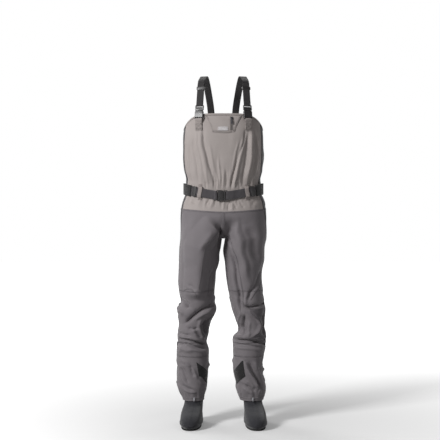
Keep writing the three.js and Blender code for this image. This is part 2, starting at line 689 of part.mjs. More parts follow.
// A closed-ended sock: an outer skin, an inner skin and a floor under each.
function stockingFoot(columns, rows) {
  const bottom = FOOT[0][0];
  const surface = (u, v) => {
    const height = lerp(bottom, FOOT[FOOT.length - 1][0], v);
    return footPoint(2 * Math.PI * u, height);
  };
  const points = [];
  for (const out of [0, -NEOPRENE]) {
    for (let j = 0; j <= rows; j++) {
      for (let i = 0; i < columns; i++) {
        const [u, v] = [i / columns, j / rows];
        const point = surface(u, v).addScaledVector(normalOf(surface, u, v), out);
        point.z = Math.max(point.z, bottom - out);
        points.push(point);
      }
    }
  }
  const middle = between(FOOT, bottom)[0];
  points.push(new THREE.Vector3(0, middle, bottom), new THREE.Vector3(0, middle, bottom + NEOPRENE));
  const skin = columns * (rows + 1);
  const at = (side, i, j) => side * skin + j * columns + (i % columns);
  const triangles = [];
  const quad = (a, b, c, d) => triangles.push(a, b, c, a, c, d);
  for (let i = 0; i < columns; i++) {
    for (let j = 0; j < rows; j++) {
      quad(at(0, i, j), at(0, i + 1, j), at(0, i + 1, j + 1), at(0, i, j + 1));
      quad(at(1, i, j + 1), at(1, i + 1, j + 1), at(1, i + 1, j), at(1, i, j));
    }
    quad(at(0, i, rows), at(0, i + 1, rows), at(1, i + 1, rows), at(1, i, rows));
    triangles.push(2 * skin, at(0, i + 1, 0), at(0, i, 0));
    triangles.push(2 * skin + 1, at(1, i, 0), at(1, i + 1, 0));
  }
  return indexed(points, triangles);
}

function footSole() {
  const outline = [];
  for (let k = 0; k < SOLE_SIDES; k++) {
    const point = footPoint((2 * Math.PI * k) / SOLE_SIDES, FOOT[0][0], SOLE_RIM);
    outline.push(new THREE.Vector2(point.x, point.y));
  }
  return new THREE.ExtrudeGeometry(new THREE.Shape(outline.reverse()), {
    depth: SOLE_THICKNESS, bevelEnabled: false,
  });
}
const footPlace = new THREE.Matrix4().makeRotationZ(rad(FOOT_TURN)).setPosition(FOOT_OUT, 0, 0);
addPair('stocking_foot', stockingFoot(18, 8), MATERIAL.neoprene, footPlace);
addPair('foot_sole', footSole(), MATERIAL.soleRubber, footPlace);

// ---- shoulder straps

// The strap's own frame: its origin is the buckle's mouth, Y runs up the strap, Z is out.
function strapPlace() {
  const bibEdgeHeight = topEdge(Math.asin(STRAP_X / between(TRUNK, CHEST_HEIGHT)[0]));
  const face = faceFrame(STRAP_X, bibEdgeHeight, 0);
  const out = new THREE.Vector3().setFromMatrixColumn(face, 2);
  const across = STRAP_LEAN.clone().cross(out).normalize();
  const facing = across.clone().cross(STRAP_LEAN);
  const mouth = new THREE.Vector3().setFromMatrixPosition(face)
    .addScaledVector(out, BUCKLE_CLEAR)
    .addScaledVector(STRAP_LEAN, (MOUTH_HEIGHT - bibEdgeHeight) / STRAP_LEAN.z);
  return new THREE.Matrix4().makeBasis(across, STRAP_LEAN, facing).setPosition(mouth);
}
const strapFrame = strapPlace();
const strapAcross = new THREE.Vector3().setFromMatrixColumn(strapFrame, 0);
const onStrap = (along, out) => new THREE.Vector3(0, along, out).applyMatrix4(strapFrame);

const bibLayer = BIB_BUCKLE.bar / 2 + FIT + STRAP_WEB / 2;
addPair('bib_buckle_housing', buckleHousing(BIB_BUCKLE), MATERIAL.hardware, strapFrame);
addPair('bib_buckle_stem', buckleStem(BIB_BUCKLE), MATERIAL.hardware, strapFrame);
const bibProng = buckleProng(BIB_BUCKLE);
addPair('bib_prong_outer', toGeometry(bibProng), MATERIAL.hardware, strapFrame);
addPair('bib_prong_inner', toGeometry(bibProng.mirror([1, 0, 0])), MATERIAL.hardware, strapFrame);

// The webbing round a bar: up to it on one side, round it and back on the other.
function barTurn(barAt, bar, layer, web, inwards, point) {
  const edge = barAt + inwards * (bar / 2 + FIT + web / 2);
  const start = barAt - inwards * (BAR_INSET + 1);
  return [
    point(start, layer), point(edge - inwards * 2, layer), point(edge - inwards * 0.5, layer * 0.72),
    point(edge, 0),
    point(edge - inwards * 0.5, -layer * 0.72), point(edge - inwards * 2, -layer), point(start, -layer),
  ];
}

function strapRun() {
  const barAt = BIB_BUCKLE.stem - BAR_INSET;
  const turn = barTurn(barAt, BIB_BUCKLE.bar, bibLayer, STRAP_WEB, -1, onStrap);
  const path = [onStrap(STRAP_RUN, bibLayer), onStrap(STRAP_RUN / 2, bibLayer), ...turn,
    onStrap(STRAP_RUN / 2, -bibLayer), onStrap(STRAP_RUN, -bibLayer)];
  return ribbon(path, () => strapAcross, STRAP_WIDTH, STRAP_WEB);
}
addPair('strap_run', strapRun(), MATERIAL.strapWeb);

const keeperPlace = strapFrame.clone().multiply(new THREE.Matrix4().makeTranslation(0, KEEPER_PLACE, 0));
const strapKeeper = keeper(STRAP_WIDTH, STRAP_WEB, [-bibLayer, bibLayer], KEEPER_LENGTH, 3, 1.6);
addPair('strap_adjuster', strapKeeper, MATERIAL.hardware, keeperPlace);

// The tab that holds the housing: sewn to the bib, round the bar and down in front of itself.
function bibTab() {
  const barAt = BAR_INSET - BIB_BUCKLE.housing;
  const onBib = (height, out) => {
    const x = onStrap(barAt, 0).x;
    return faceFrame(x, height, out);
  };
  const at = (height, out) => new THREE.Vector3().setFromMatrixPosition(onBib(height, out));
  const inner = FIT + STRAP_WEB / 2;
  const outer = inner + STRAP_WEB + FIT;
  const turn = barTurn(barAt, BIB_BUCKLE.bar, -bibLayer, STRAP_WEB, 1, onStrap);
  const end = BIB_TOP - TAB_LENGTH;
  const path = [at(end, inner), at(end + 18, inner), at(end + 36, inner + 0.6), ...turn,
    at(end + 35, outer + 2.6), at(end + 18, outer + 0.4), at(end + 6, outer)];
  return ribbon(path, () => strapAcross, STRAP_WIDTH, STRAP_WEB);
}
addPair('bib_tab', bibTab(), MATERIAL.loopWeb);

// A place out from the back's face.
function onBack(x, height, out) {
  const surface = facePatch(x, height - 5, height + 5, 5, 5, -1);
  return surface(0.5, 0.5).addScaledVector(normalOf(surface, 0.5, 0.5), out);
}

// Over the shoulder and down to the yoke on the back.
function shoulderPath() {
  const top = onStrap(STRAP_RUN + SEAM_GAP, 0);
  const next = onStrap(STRAP_RUN + 9, 0);
  const over = [[93, -46, -11], [88, -14, 0], [83, 20, -2], [77, 55, -24], [69, 84, -68], [60, 102, -123]];
  const down = [[54, 22, 4], [50, 2, 2.2], [48, -18, 2], [46, -40, 2]];
  const curve = new THREE.CatmullRomCurve3([top, next,
    ...over.map(([x, y, rise]) => new THREE.Vector3(x, y, CREST_HEIGHT + rise)),
    ...down.map(([x, rise, out]) => onBack(x, YOKE_HIGH + rise, out))], false, 'centripetal');
  return curve.getSpacedPoints(SHOULDER_STEPS);
}
function shoulderAcross(k) {
  const turn = THREE.MathUtils.smoothstep(k, 0, (2 / 3) * SHOULDER_STEPS);
  const end = YOKE_HALF - STRAP_WIDTH / 2;
  const flat = facePoint(end, YOKE_LOW, -1).sub(facePoint(end - 12, YOKE_LOW, -1)).normalize();
  return strapAcross.clone().lerp(flat, turn);
}
addPair('shoulder_strap', ribbon(shoulderPath(), shoulderAcross, STRAP_WIDTH, STRAP_WEB), MATERIAL.strapWeb);

const yoke = facePatch(0, YOKE_LOW, YOKE_HIGH, YOKE_HALF_LOW, YOKE_HALF, -1);
add('back_yoke', sheet(yoke, 10, 3, YOKE_OFF, YOKE_OFF + YOKE_THICKNESS), MATERIAL.backWeb);

// ---- wading belt

// A place on the belt: degrees round from the front and height above its middle line.
function beltPoint(turn, extra = 0) {
  const angle = rad(turn);
  const ring = (u, v) => trunkPoint(angle + u * 0.1, BELT_HEIGHT + v);
  const out = normalOf(ring, 0, 0).setZ(0).normalize();
  const near = 1 - THREE.MathUtils.smoothstep(Math.abs(turn), 12, 30);
  return ring(0, 0).addScaledVector(out, lerp(BELT_OFF, BUCKLE_OFF, near) + extra);
}
const up = new THREE.Vector3(0, 0, 1);
const beltMouth = beltPoint(0);
const beltFrame = new THREE.Matrix4()
  .makeBasis(new THREE.Vector3(0, 0, -1), new THREE.Vector3(1, 0, 0), new THREE.Vector3(0, -1, 0))
  .setPosition(beltMouth);
add('belt_buckle_housing', buckleHousing(BELT_BUCKLE), MATERIAL.hardware, beltFrame);
add('belt_buckle_stem', buckleStem(BELT_BUCKLE), MATERIAL.hardware, beltFrame);
const beltProng = buckleProng(BELT_BUCKLE);
add('belt_prong_lower', toGeometry(beltProng), MATERIAL.hardware, beltFrame);
add('belt_prong_upper', toGeometry(beltProng.mirror([1, 0, 0])), MATERIAL.hardware, beltFrame);

const beltLayer = BELT_BUCKLE.bar / 2 + FIT + BELT_WEB / 2;

// The front webbing on one side (1 is the wearer's left), from its lock to its bar and back.
function beltFront(side, barAt) {
  const onBuckle = (along, out) => new THREE.Vector3(0, along, out).applyMatrix4(beltFrame);
  const path = [];
  for (let turn = BELT_BACK_FROM - 1; turn > 16; turn -= 5) {
    path.push(beltPoint(side * turn, beltLayer * (1 - THREE.MathUtils.smoothstep(turn, 14, 30))));
  }
  path.push(...barTurn(barAt, BELT_BUCKLE.bar, beltLayer, BELT_WEB, -side, onBuckle));
  path.push(onBuckle(barAt + side * 18, -beltLayer));
  return ribbon(path, () => up, BELT_WIDTH, BELT_WEB);
}
add('belt_front_left', beltFront(1, BELT_BUCKLE.stem - BAR_INSET), MATERIAL.beltWeb);
add('belt_front_right', beltFront(-1, BAR_INSET - BELT_BUCKLE.housing), MATERIAL.beltWeb);

function beltBack() {
  const path = [];
  const sweep = 360 - 2 * BELT_BACK_FROM;
  for (let k = 0; k <= BELT_BACK_STEPS; k++) {
    path.push(beltPoint(BELT_BACK_FROM + (sweep * k) / BELT_BACK_STEPS));
  }
  return ribbon(path, () => up, BELT_BACK_WIDTH, BELT_WEB);
}
add('belt_back', beltBack(), MATERIAL.backWeb);

// The belt's own frame at a turn round the waist: Y along it, Z out.
function onBelt(turn) {
  const along = beltPoint(turn + 1).sub(beltPoint(turn - 1)).normalize();
  const out = along.clone().cross(up).normalize();
  return new THREE.Matrix4()
    .makeBasis(along.clone().cross(out), along, out)
    .setPosition(beltPoint(turn));
}
const lock = keeper(BELT_WIDTH, BELT_WEB, [0], BELT_LOCK_LENGTH, 4, 1.4, 1.1);
addPair('belt_lock', lock, MATERIAL.hardware, onBelt(BELT_LOCK_ANGLE));

// A loop of tape that carries the belt, sewn down above and below it.
function beltLoop() {
  const place = onBelt(BELT_LOOP_ANGLE);
  const ring = (u, v) => trunkPoint(rad(BELT_LOOP_ANGLE) + u * 0.1, BELT_HEIGHT + v);
  const sewn = (height) => ring(0, height).addScaledVector(normalOf(ring, 0, height).setZ(0).normalize(), 2);
  const over = BELT_WEB / 2 + FIT + STRAP_WEB / 2;
  const at = (height, out) => new THREE.Vector3(-height, 0, out).applyMatrix4(place);
  const half = BELT_LOOP_LENGTH / 2;
  const inner = BELT_WIDTH / 2;
  const path = [sewn(-half), sewn(-inner - 8), at(-inner - 1, over), at(inner + 1, over),
    sewn(inner + 8), sewn(half)];
  return ribbon(path, () => new THREE.Vector3().setFromMatrixColumn(place, 1), BELT_LOOP_WIDTH, STRAP_WEB);
}
addPair('belt_loop', beltLoop(), MATERIAL.loopWeb);

export default waders;
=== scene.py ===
"""Chest waders, standing in the shape they take on a wearer.

The cloth shell is cut from one continuous skin: a trunk tube and two leg tubes, raised and
lowered by folds. Webbing, buckles, zip, guards and stocking feet are laid on it.
Lengths are millimetres until a mesh is made; the wearer faces -Y and their left is +X.
"""
import logging
import math
from dataclasses import dataclass, field
from enum import Enum
from typing import Callable, Optional, Sequence

import bmesh
import bpy
import numpy as np
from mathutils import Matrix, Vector


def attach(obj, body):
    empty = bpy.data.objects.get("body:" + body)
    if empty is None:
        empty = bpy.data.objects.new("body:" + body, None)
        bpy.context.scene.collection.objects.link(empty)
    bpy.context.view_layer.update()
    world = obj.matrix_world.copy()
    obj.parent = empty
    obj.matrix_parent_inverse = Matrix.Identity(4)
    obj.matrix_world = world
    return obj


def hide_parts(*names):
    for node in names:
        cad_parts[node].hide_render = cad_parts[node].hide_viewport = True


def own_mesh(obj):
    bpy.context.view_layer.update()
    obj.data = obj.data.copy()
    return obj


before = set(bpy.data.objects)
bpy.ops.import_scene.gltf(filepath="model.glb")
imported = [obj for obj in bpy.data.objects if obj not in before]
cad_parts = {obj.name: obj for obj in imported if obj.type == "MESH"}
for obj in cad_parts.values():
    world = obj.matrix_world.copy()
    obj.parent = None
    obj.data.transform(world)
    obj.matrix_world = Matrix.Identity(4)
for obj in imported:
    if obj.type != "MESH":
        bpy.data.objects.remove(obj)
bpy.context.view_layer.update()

log = logging.getLogger("waders")

MM = 0.001
SIDE_LINE = 34.1            # how far the body's side line lies behind the origin
LEFT, RIGHT = 1, -1
SIDE_NAME = {LEFT: "left", RIGHT: "right"}
Array = np.ndarray


# ------------------------------------------------------------------------- numbers

def smooth(low: float, high: float, value: Array) -> Array:
    """A soft step from 0 at low to 1 at high."""
    share = np.clip((np.asarray(value, float) - low) / (high - low), 0, 1)
    return share * share * (3 - 2 * share)


def unit(vectors: Array) -> Array:
    """The same directions with length 1."""
    return vectors / np.maximum(np.linalg.norm(vectors, axis=-1, keepdims=True), 1e-9)


class Stations:
    """Smooth values between the rows of a table whose first column is a height."""

    def __init__(self, rows: Sequence[Sequence[float]]) -> None:
        """Keeps the rows.

        Args:
            rows: height first, then the values at that height.
        """
        self.table = np.array(rows, float)

    def at(self, height: Array) -> list[Array]:
        """The values at each height, one array for each column."""
        height = np.asarray(height, float)
        heights, values = self.table[:, 0], self.table[:, 1:]
        last = len(heights) - 2
        k = np.clip(np.searchsorted(heights, height, side="right") - 1, 0, last)
        before, after = np.maximum(k - 1, 0), np.minimum(k + 2, last + 1)
        span = heights[k + 1] - heights[k]
        t = np.clip((height - heights[k]) / span, 0, 1)[..., None]
        rise_low = (values[k + 1] - values[before]) / (heights[k + 1] - heights[before])[..., None]
        rise_high = (values[after] - values[k]) / (heights[after] - heights[k])[..., None]
        m1, m2 = rise_low * span[..., None], rise_high * span[..., None]
        t2, t3 = t * t, t * t * t
        blend = ((2 * t3 - 3 * t2 + 1) * values[k] + (t3 - 2 * t2 + t) * m1
                 + (3 * t2 - 2 * t3) * values[k + 1] + (t3 - t2) * m2)
        return [blend[..., i] for i in range(values.shape[1])]


def oval(turn: Array, half_width: Array, half_depth: Array, squareness: float) -> Array:
    """Distance from an oval's middle to its edge; a turn of 0 is the front."""
    across = np.abs(np.sin(turn) / half_width) ** squareness
    along = np.abs(np.cos(turn) / half_depth) ** squareness
    return (across + along) ** (-1 / squareness)


# ------------------------------------------------------------------------- folds

class Crest(Enum):
    """How a fold's section runs from its line outwards."""

    SOFT = "soft"
    SHARP = "sharp"
    TENT = "tent"


@dataclass(frozen=True)
class Fold:
    """A raised (or sunk) line of cloth on a tube.

    Its path is turns in degrees and heights; lean makes one flank steeper.
    """

    path: tuple
    width: float
    lift: float
    crest: Crest = Crest.SOFT
    lean: float = 0.0
    fade: float = 0.25


def crest_height(reach: Array, crest: Crest) -> Array:
    """A fold's height at a distance from its line, counted in widths."""
    if crest is Crest.SHARP:
        return np.exp(1.5 * (0.2 - np.sqrt(reach * reach + 0.04)))
    if crest is Crest.TENT:
        return np.maximum(0, 1.08 - np.sqrt(reach * reach + 0.03)) ** 1.15
    return np.exp(-reach * reach)


def fold_height(fold: Fold, arc: Array, height: Array, radius: float) -> Array:
    """A fold's height over points on its tube.

    Args:
        fold: the fold.
        arc: each point's turn times the tube's radius.
        height: each point's height.
        radius: the tube's radius, which turns degrees into arc.

    Returns:
        The height of the fold at each point.
    """
    path = np.array(fold.path, float)
    path[:, 0] = np.radians(path[:, 0]) * radius
    around = 2 * math.pi * radius
    middle = path[:, 0].mean()
    arc = middle + (arc - middle + around / 2) % around - around / 2
    lengths = np.linalg.norm(np.diff(path, axis=0), axis=1)
    total = lengths.sum()
    best = np.full(arc.shape, 1e9)
    along = np.zeros(arc.shape)
    hand = np.zeros(arc.shape)
    done = 0.0
    for start, end, length in zip(path[:-1], path[1:], lengths):
        way = (end - start) / length
        du, dv = arc - start[0], height - start[1]
        t = np.clip(du * way[0] + dv * way[1], 0, length)
        off_u, off_v = du - t * way[0], dv - t * way[1]
        distance = np.hypot(off_u, off_v)
        near = distance < best
        best = np.where(near, distance, best)
        along = np.where(near, (done + t) / total, along)
        hand = np.where(near, np.sign(way[0] * off_v - way[1] * off_u), hand)
        done += length
    reach = best / (fold.width * (1 + fold.lean * hand))
    ends = smooth(0, fold.fade, along) * smooth(0, fold.fade, 1 - along)
    body = 0.15 + 0.85 * ends
    return fold.lift * body * crest_height(reach, fold.crest)


@dataclass(frozen=True)
class Zone:
    """A stretch of a tube where small folds are scattered, with a fixed seed."""

    turns: tuple
    heights: tuple
    count: int
    tilt: float                 # degrees from level
    spread: float               # degrees either way
    length: tuple
    width: tuple
    lift: tuple
    seed: int
    crest: Crest = Crest.SOFT

    def folds(self, radius: float) -> list[Fold]:
        """The zone's folds on a tube of that radius."""
        rng = np.random.default_rng(self.seed)
        made = []
        for _ in range(self.count):
            turn, height = rng.uniform(*self.turns), rng.uniform(*self.heights)
            angle = math.radians(self.tilt + rng.uniform(-self.spread, self.spread))
            length, width = rng.uniform(*self.length), rng.uniform(*self.width)
            lift = rng.uniform(*self.lift) * rng.choice((-1, 1))
            bend = rng.uniform(-0.25, 0.25)
            path = []
            for share in (-0.5, -0.17, 0.17, 0.5):
                along, aside = share * length, bend * length * (0.25 - share * share)
                du = along * math.cos(angle) - aside * math.sin(angle)
                dv = along * math.sin(angle) + aside * math.cos(angle)
                path.append((turn + math.degrees(du / radius), height + dv))
            crest = self.crest if lift < 0 else Crest.SOFT
            made.append(Fold(tuple(path), width, lift, crest, rng.uniform(-0.35, 0.35), 0.4))
        return made


@dataclass(frozen=True)
class Gathers:
    """Upright pleats all round a tube, drawn in at one height and dying out from it."""

    height: float
    reach: float                # how far they run; negative runs down
    count: int
    lift: float
    seed: int
    turns: tuple = (-180, 180)

    def folds(self, radius: float) -> list[Fold]:
        """The pleats on a tube of that radius."""
        rng = np.random.default_rng(self.seed)
        made = []
        pitch = (self.turns[1] - self.turns[0]) / self.count
        for k in range(self.count):
            turn = self.turns[0] + pitch * (k + rng.uniform(-0.32, 0.32))
            length = self.reach * rng.uniform(0.35, 1.0)
            drift = rng.uniform(-0.5, 0.5) * pitch
            path = ((turn, self.height), (turn + drift * 0.4, self.height + length * 0.45),
                    (turn + drift, self.height + length))
            width = math.radians(pitch) * radius * rng.uniform(0.26, 0.42)
            lift = self.lift * rng.uniform(0.4, 1.0) * (1 if k % 2 else -0.7)
            made.append(Fold(path, width, lift, Crest.SOFT, rng.uniform(-0.4, 0.4), 0.3))
        return made


# ------------------------------------------------------------------------- the skin

@dataclass
class Tube:
    """One tube of the shell: a plain surface, and the folds that lie on it."""

    folds: list = field(default_factory=list, kw_only=True)
    radius: float = field(default=100.0, kw_only=True)

    def base(self, turn: Array, height: Array) -> Array:
        """Points of the plain surface, for turns in degrees and heights."""
        raise NotImplementedError

    def outward(self, turn: Array, height: Array) -> Array:
        """The plain surface's outward directions."""
        step = 0.05
        along = self.base(turn + step, height) - self.base(turn - step, height)
        rise = self.base(turn, height + step) - self.base(turn, height - step)
        return self.facing() * unit(np.cross(along, rise))

    def facing(self) -> float:
        """1 where turns grow towards the wearer's left at the front, else -1."""
        return 1.0

    def relief(self, turn: Array, height: Array) -> Array:
        """Height of all folds together over the plain surface."""
        arc = np.radians(turn) * self.radius
        wobble = 1.6 * np.sin(height / 37.0 + arc / 71.0) + 1.4 * np.sin(height / 17.0 - arc / 43.0)
        drift = 1.8 * np.sin(arc / 29.0 + height / 83.0)
        total = np.zeros(np.shape(arc))
        for fold in self.folds:
            total += fold_height(fold, arc + wobble, height + drift, self.radius)
        return total

    def skin(self, turn: Array, height: Array, out: float = 0.0) -> Array:
        """Points of the folded cloth, lifted off it by a distance.

        Args:
            turn: degrees round from the front.
            height: heights.
            out: distance off the cloth's face.

        Returns:
            The points, in millimetres.
        """
        turn, height = np.broadcast_arrays(np.asarray(turn, float), np.asarray(height, float))
        raised = self.relief(turn, height) + out
        return self.base(turn, height) + self.outward(turn, height) * raised[..., None]

    def turn_at(self, x: float, z: float) -> tuple:
        """The turn and height of the front's point that is seen at x and z."""
        turns, height = np.linspace(-88, 88, 353), z
        for _ in range(6):
            row = self.base(turns, np.full_like(turns, height))
            row, order = row[np.argsort(row[:, 0])], np.argsort(row[:, 0])
            turn = float(np.interp(x, row[:, 0], turns[order]))
            height += z - float(np.interp(x, row[:, 0], row[:, 2]))
        return turn, height


@dataclass
class Trunk(Tube):
    """The bib, its back and the waist, down to the seam where the legs start."""

    squareness: float = 2.45
    bib_top: float = 1398.0
    underarm_dip: float = 62.0
    underarm_spread: float = 26.0
    back_dip: float = 22.0
    waist_seam: float = 971.0
    side_seam: float = 64.0     # degrees round from the front
    belt_height: float = 1064.0
    belt_droop: float = 31.0
    radius: float = field(default=170.0, kw_only=True)
    stations: Stations = field(default_factory=lambda: Stations([
        [838, 193, 118, 130], [900, 195, 124, 134], [960, 194, 126, 130],
        [1000, 187, 120, 116], [1036, 174, 111, 101], [1064, 174, 110, 100],
        [1088, 170, 111, 100], [1112, 166, 113, 103], [1150, 176, 120, 110],
        [1200, 181, 124, 116], [1290, 181, 124, 118], [1350, 176, 119, 114],
        [1410, 168, 113, 108]]))

    def droop(self, turn: Array, height: Array) -> Array:
        """How much lower the cloth hangs in front near the belt."""
        reach = np.where(height > self.belt_height, 150.0, 105.0)
        ahead = np.maximum(np.cos(np.radians(turn)), 0) ** 1.5
        return self.belt_droop * ahead * np.exp(-(((height - self.belt_height) / reach) ** 2))

    def base(self, turn: Array, height: Array) -> Array:
        """Points of the plain trunk."""
        half_width, front, back = self.stations.at(height)
        angle = np.radians(turn)
        reach = oval(angle, half_width, np.where(np.cos(angle) > 0, front, back), self.squareness)
        return np.stack([reach * np.sin(angle), -reach * np.cos(angle),
                         height - self.droop(turn, height)], -1)

    def top_edge(self, turn: Array) -> Array:
        """Height of the top edge round the trunk."""
        away = np.abs((np.asarray(turn, float) + 180) % 360 - 180)
        dip = np.exp(-(((away - 90) / self.underarm_spread) ** 2)) * self.underarm_dip
        return self.bib_top - dip - smooth(100, 180, away) * self.back_dip


@dataclass
class Leg(Tube):
    """One leg of the shell, from the waist seam to the ankle."""

    side: int
    trunk: Trunk
    squareness: float = 2.2
    crotch: float = 838.0
    rise: float = 115.0         # height over which the leg grows into the trunk
    slim: float = 12.0          # how much slimmer it is inside its guard
    guard_top: float = 310.0
    radius: float = field(default=82.0, kw_only=True)
    stance: Stations = field(default_factory=lambda: Stations([[0, 0, 0, 0], [1000, 0, 0, 0]]))
    stations: Stations = field(default_factory=lambda: Stations([
        [100, 132, 49, 62, 8], [140, 132, 57, 68, 12], [190, 130, 66, 76, 16],
        [250, 128, 70, 82, 18], [310, 128, 74, 85, 14], [380, 128, 72, 84, 8],
        [450, 122, 70, 82, 4], [520, 116, 77, 88, 0], [600, 112, 80, 94, 0],
        [700, 105, 89, 103, 2], [790, 101, 93, 110, 2], [838, 101, 93.5, 116, 2]]))

    def facing(self) -> float:
        """The right leg is the left's mirror image, so its turns run the other way."""
        return float(self.side)

    def trunk_turn(self, turn: Array) -> Array:
        """The turn on the trunk's left half that meets each turn on the leg."""
        ahead = turn <= 90
        across = np.where(ahead, (turn + 90) / 180, (270 - turn) / 180)
        return np.where(ahead, 90 * across, 180 - 90 * across)

    def ring(self, turn: Array, height: Array, grow: Array) -> Array:
        """Points of the leg's own oval, widened all round by grow."""
        middle, half_width, half_depth, behind = self.stations.at(height)
        shift, wider, deeper = self.stance.at(height)
        angle = np.radians(turn)
        reach = oval(angle, half_width + wider + grow, half_depth + deeper + grow, self.squareness)
        x = middle + shift + reach * np.sin(angle)
        return np.stack([x, behind - reach * np.cos(angle), np.asarray(height, float)], -1)

    def base(self, turn: Array, height: Array) -> Array:
        """Points of the plain leg, slimmer inside the guard and grown into the trunk above."""
        turn, height = np.broadcast_arrays(np.asarray(turn, float), np.asarray(height, float))
        covered = -self.slim * smooth(0, 50, self.guard_top - 4 - height)
        own = self.ring(turn, height, covered)
        risen = np.clip((height - self.crotch) / self.rise, 0, 1)
        joined = self.trunk.base(self.trunk_turn(turn), height)
        joined[..., 0] = 0.3 + joined[..., 0] * (1 - 0.3 / 194)
        arch = np.sqrt(np.maximum(0, 1 - (1 - risen) ** 2))
        edge = np.minimum(np.abs(turn + 90), np.abs(turn - 270))
        inner = np.exp(-((edge / 34) ** 2))
        share = (smooth(0, 1, risen) * (1 - inner) + arch * inner)[..., None]
        points = own * (1 - share) + joined * share
        points[..., 0] *= self.side
        return points

    def relief(self, turn: Array, height: Array) -> Array:
        """The folds, dying out at the waist seam and along the centre seam."""
        waist = smooth(self.trunk.waist_seam, self.trunk.waist_seam - 45, height)
        edge = np.minimum(np.abs(turn + 90), np.abs(turn - 270))
        above = smooth(self.crotch - 30, self.crotch + 10, height)
        centre = 1 - above * (1 - smooth(0, 14, edge))
        cuff = smooth(self.guard_top - 4, self.guard_top + 26, height)
        return super().relief(turn, height) * waist * centre * cuff


@dataclass
class Guard(Tube):
    """The gravel guard, a loose sleeve over the lower leg."""

    leg: Leg
    ease: float = 3.5
    top: float = 310.0
    hem: float = 108.0
    radius: float = field(default=72.0, kw_only=True)

    def facing(self) -> float:
        """As on the leg that it covers."""
        return self.leg.facing()

    def base(self, turn: Array, height: Array) -> Array:
        """Points of the plain sleeve."""
        ease = 0.6 + (self.ease - 0.6) * smooth(self.top - 4, self.top - 45, height)
        points = self.leg.ring(turn, height, ease)
        points[..., 0] *= self.leg.side
        return points

    def relief(self, turn: Array, height: Array) -> Array:
        """The folds, dying out at the seam that joins the sleeve to the leg."""
        return super().relief(turn, height) * smooth(self.top, self.top - 22, height)


# ------------------------------------------------------------------------- meshes

def to_frame(points: Array) -> Array:
    """Millimetre points about the side line, as metre points in the shared frame."""
    moved = np.array(points, float)
    moved[..., 1] += SIDE_LINE
    return moved * MM


def link(mesh: bpy.types.Mesh, name: str, material: bpy.types.Material) -> bpy.types.Object:
    """Puts a mesh in the scene with its finish on it.

    Args:
        mesh: the finished mesh.
        name: the piece's name.
        material: the piece's finish.

    Returns:
        The new object.
    """
    mesh.materials.clear()
    mesh.materials.append(material)
    piece = bpy.data.objects.new(name, mesh)
    bpy.context.collection.objects.link(piece)
    return piece


def grid_mesh(name: str, points: Array, closed_round: bool = False, flip: bool = False,
              caps: bool = False, uv: Optional[Array] = None) -> bpy.types.Mesh:
    """A smooth mesh over a grid of points, with a UV map in metres along the cloth.

    Args:
        name: the mesh's name.
        points: rows by columns by 3, in millimetres; columns run to the viewer's right.
        closed_round: joins the last column to the first.
        flip: turns the faces round, for a grid whose columns run to the left.
        caps: closes both ends of a closed grid with a fan.
        uv: rows by columns by 2, in place of lengths measured on the grid.

    Returns:
        The mesh.
    """
    rows, columns = points.shape[:2]
    placed = to_frame(points)
    vertices = placed.reshape(-1, 3)
    wide = columns if closed_round else columns - 1
    j, i = np.meshgrid(np.arange(rows - 1), np.arange(wide), indexing="ij")
    near = j * columns + i
    far = j * columns + (i + 1) % columns
    quads = np.stack([near, far, far + columns, near + columns], -1).reshape(-1, 4)
    if uv is None:
        step_u = np.linalg.norm(np.diff(placed, axis=1), axis=-1).mean(axis=0)
        step_v = np.linalg.norm(np.diff(placed, axis=0), axis=-1).mean(axis=1)
        u = np.concatenate([[0], np.cumsum(step_u)])
        v = np.concatenate([[0], np.cumsum(step_v)])
        uv = np.stack(np.meshgrid(u, v), -1)
    faces = [tuple(q) for q in quads.tolist()]
    if caps:
        vertices = np.vstack([vertices, placed[0].mean(axis=0), placed[-1].mean(axis=0)])
        low, high = rows * columns, rows * columns + 1
        top = (rows - 1) * columns
        for k in range(wide):
            n = (k + 1) % columns
            faces.append((low, n, k))
            faces.append((high, top + k, top + n))
    if flip:
        faces = [tuple(reversed(face)) for face in faces]
    mesh = bpy.data.meshes.new(name)
    mesh.from_pydata(vertices.tolist(), [], faces)
    flat = np.zeros((len(vertices), 2))
    flat[:rows * columns] = uv.reshape(-1, 2)
    loops = np.zeros(len(mesh.loops), int)
    mesh.loops.foreach_get("vertex_index", loops)
    layer = mesh.uv_layers.new(name="cloth")
    layer.data.foreach_set("uv", flat[loops].astype(np.float32).ravel())
    mesh.polygons.foreach_set("use_smooth", [True] * len(mesh.polygons))
    mesh.update()
    return mesh


def face_outwards(mesh: bpy.types.Mesh, merge: float = 0.0) -> None:
    """Turns a closed mesh's faces outwards, after merging its doubles within merge metres."""
    shape = bmesh.new()
    shape.from_mesh(mesh)
    if merge > 0:
        bmesh.ops.remove_doubles(shape, verts=shape.verts, dist=merge)
    bmesh.ops.recalc_face_normals(shape, faces=shape.faces)
    shape.to_mesh(mesh)
    shape.free()


def power_curve(value: Array, power: float) -> Array:
    """A value raised to a power, with its sign kept."""
    return np.sign(value) * np.abs(value) ** power


def thicken(piece: bpy.types.Object, thickness: float, out: float = -1.0) -> None:
    """Gives a cloth piece its thickness, in millimetres, inwards unless out is 1."""
    wall = piece.modifiers.new("thickness", "SOLIDIFY")
    wall.thickness = thickness * MM
    wall.offset = out
    wall.use_even_offset = False


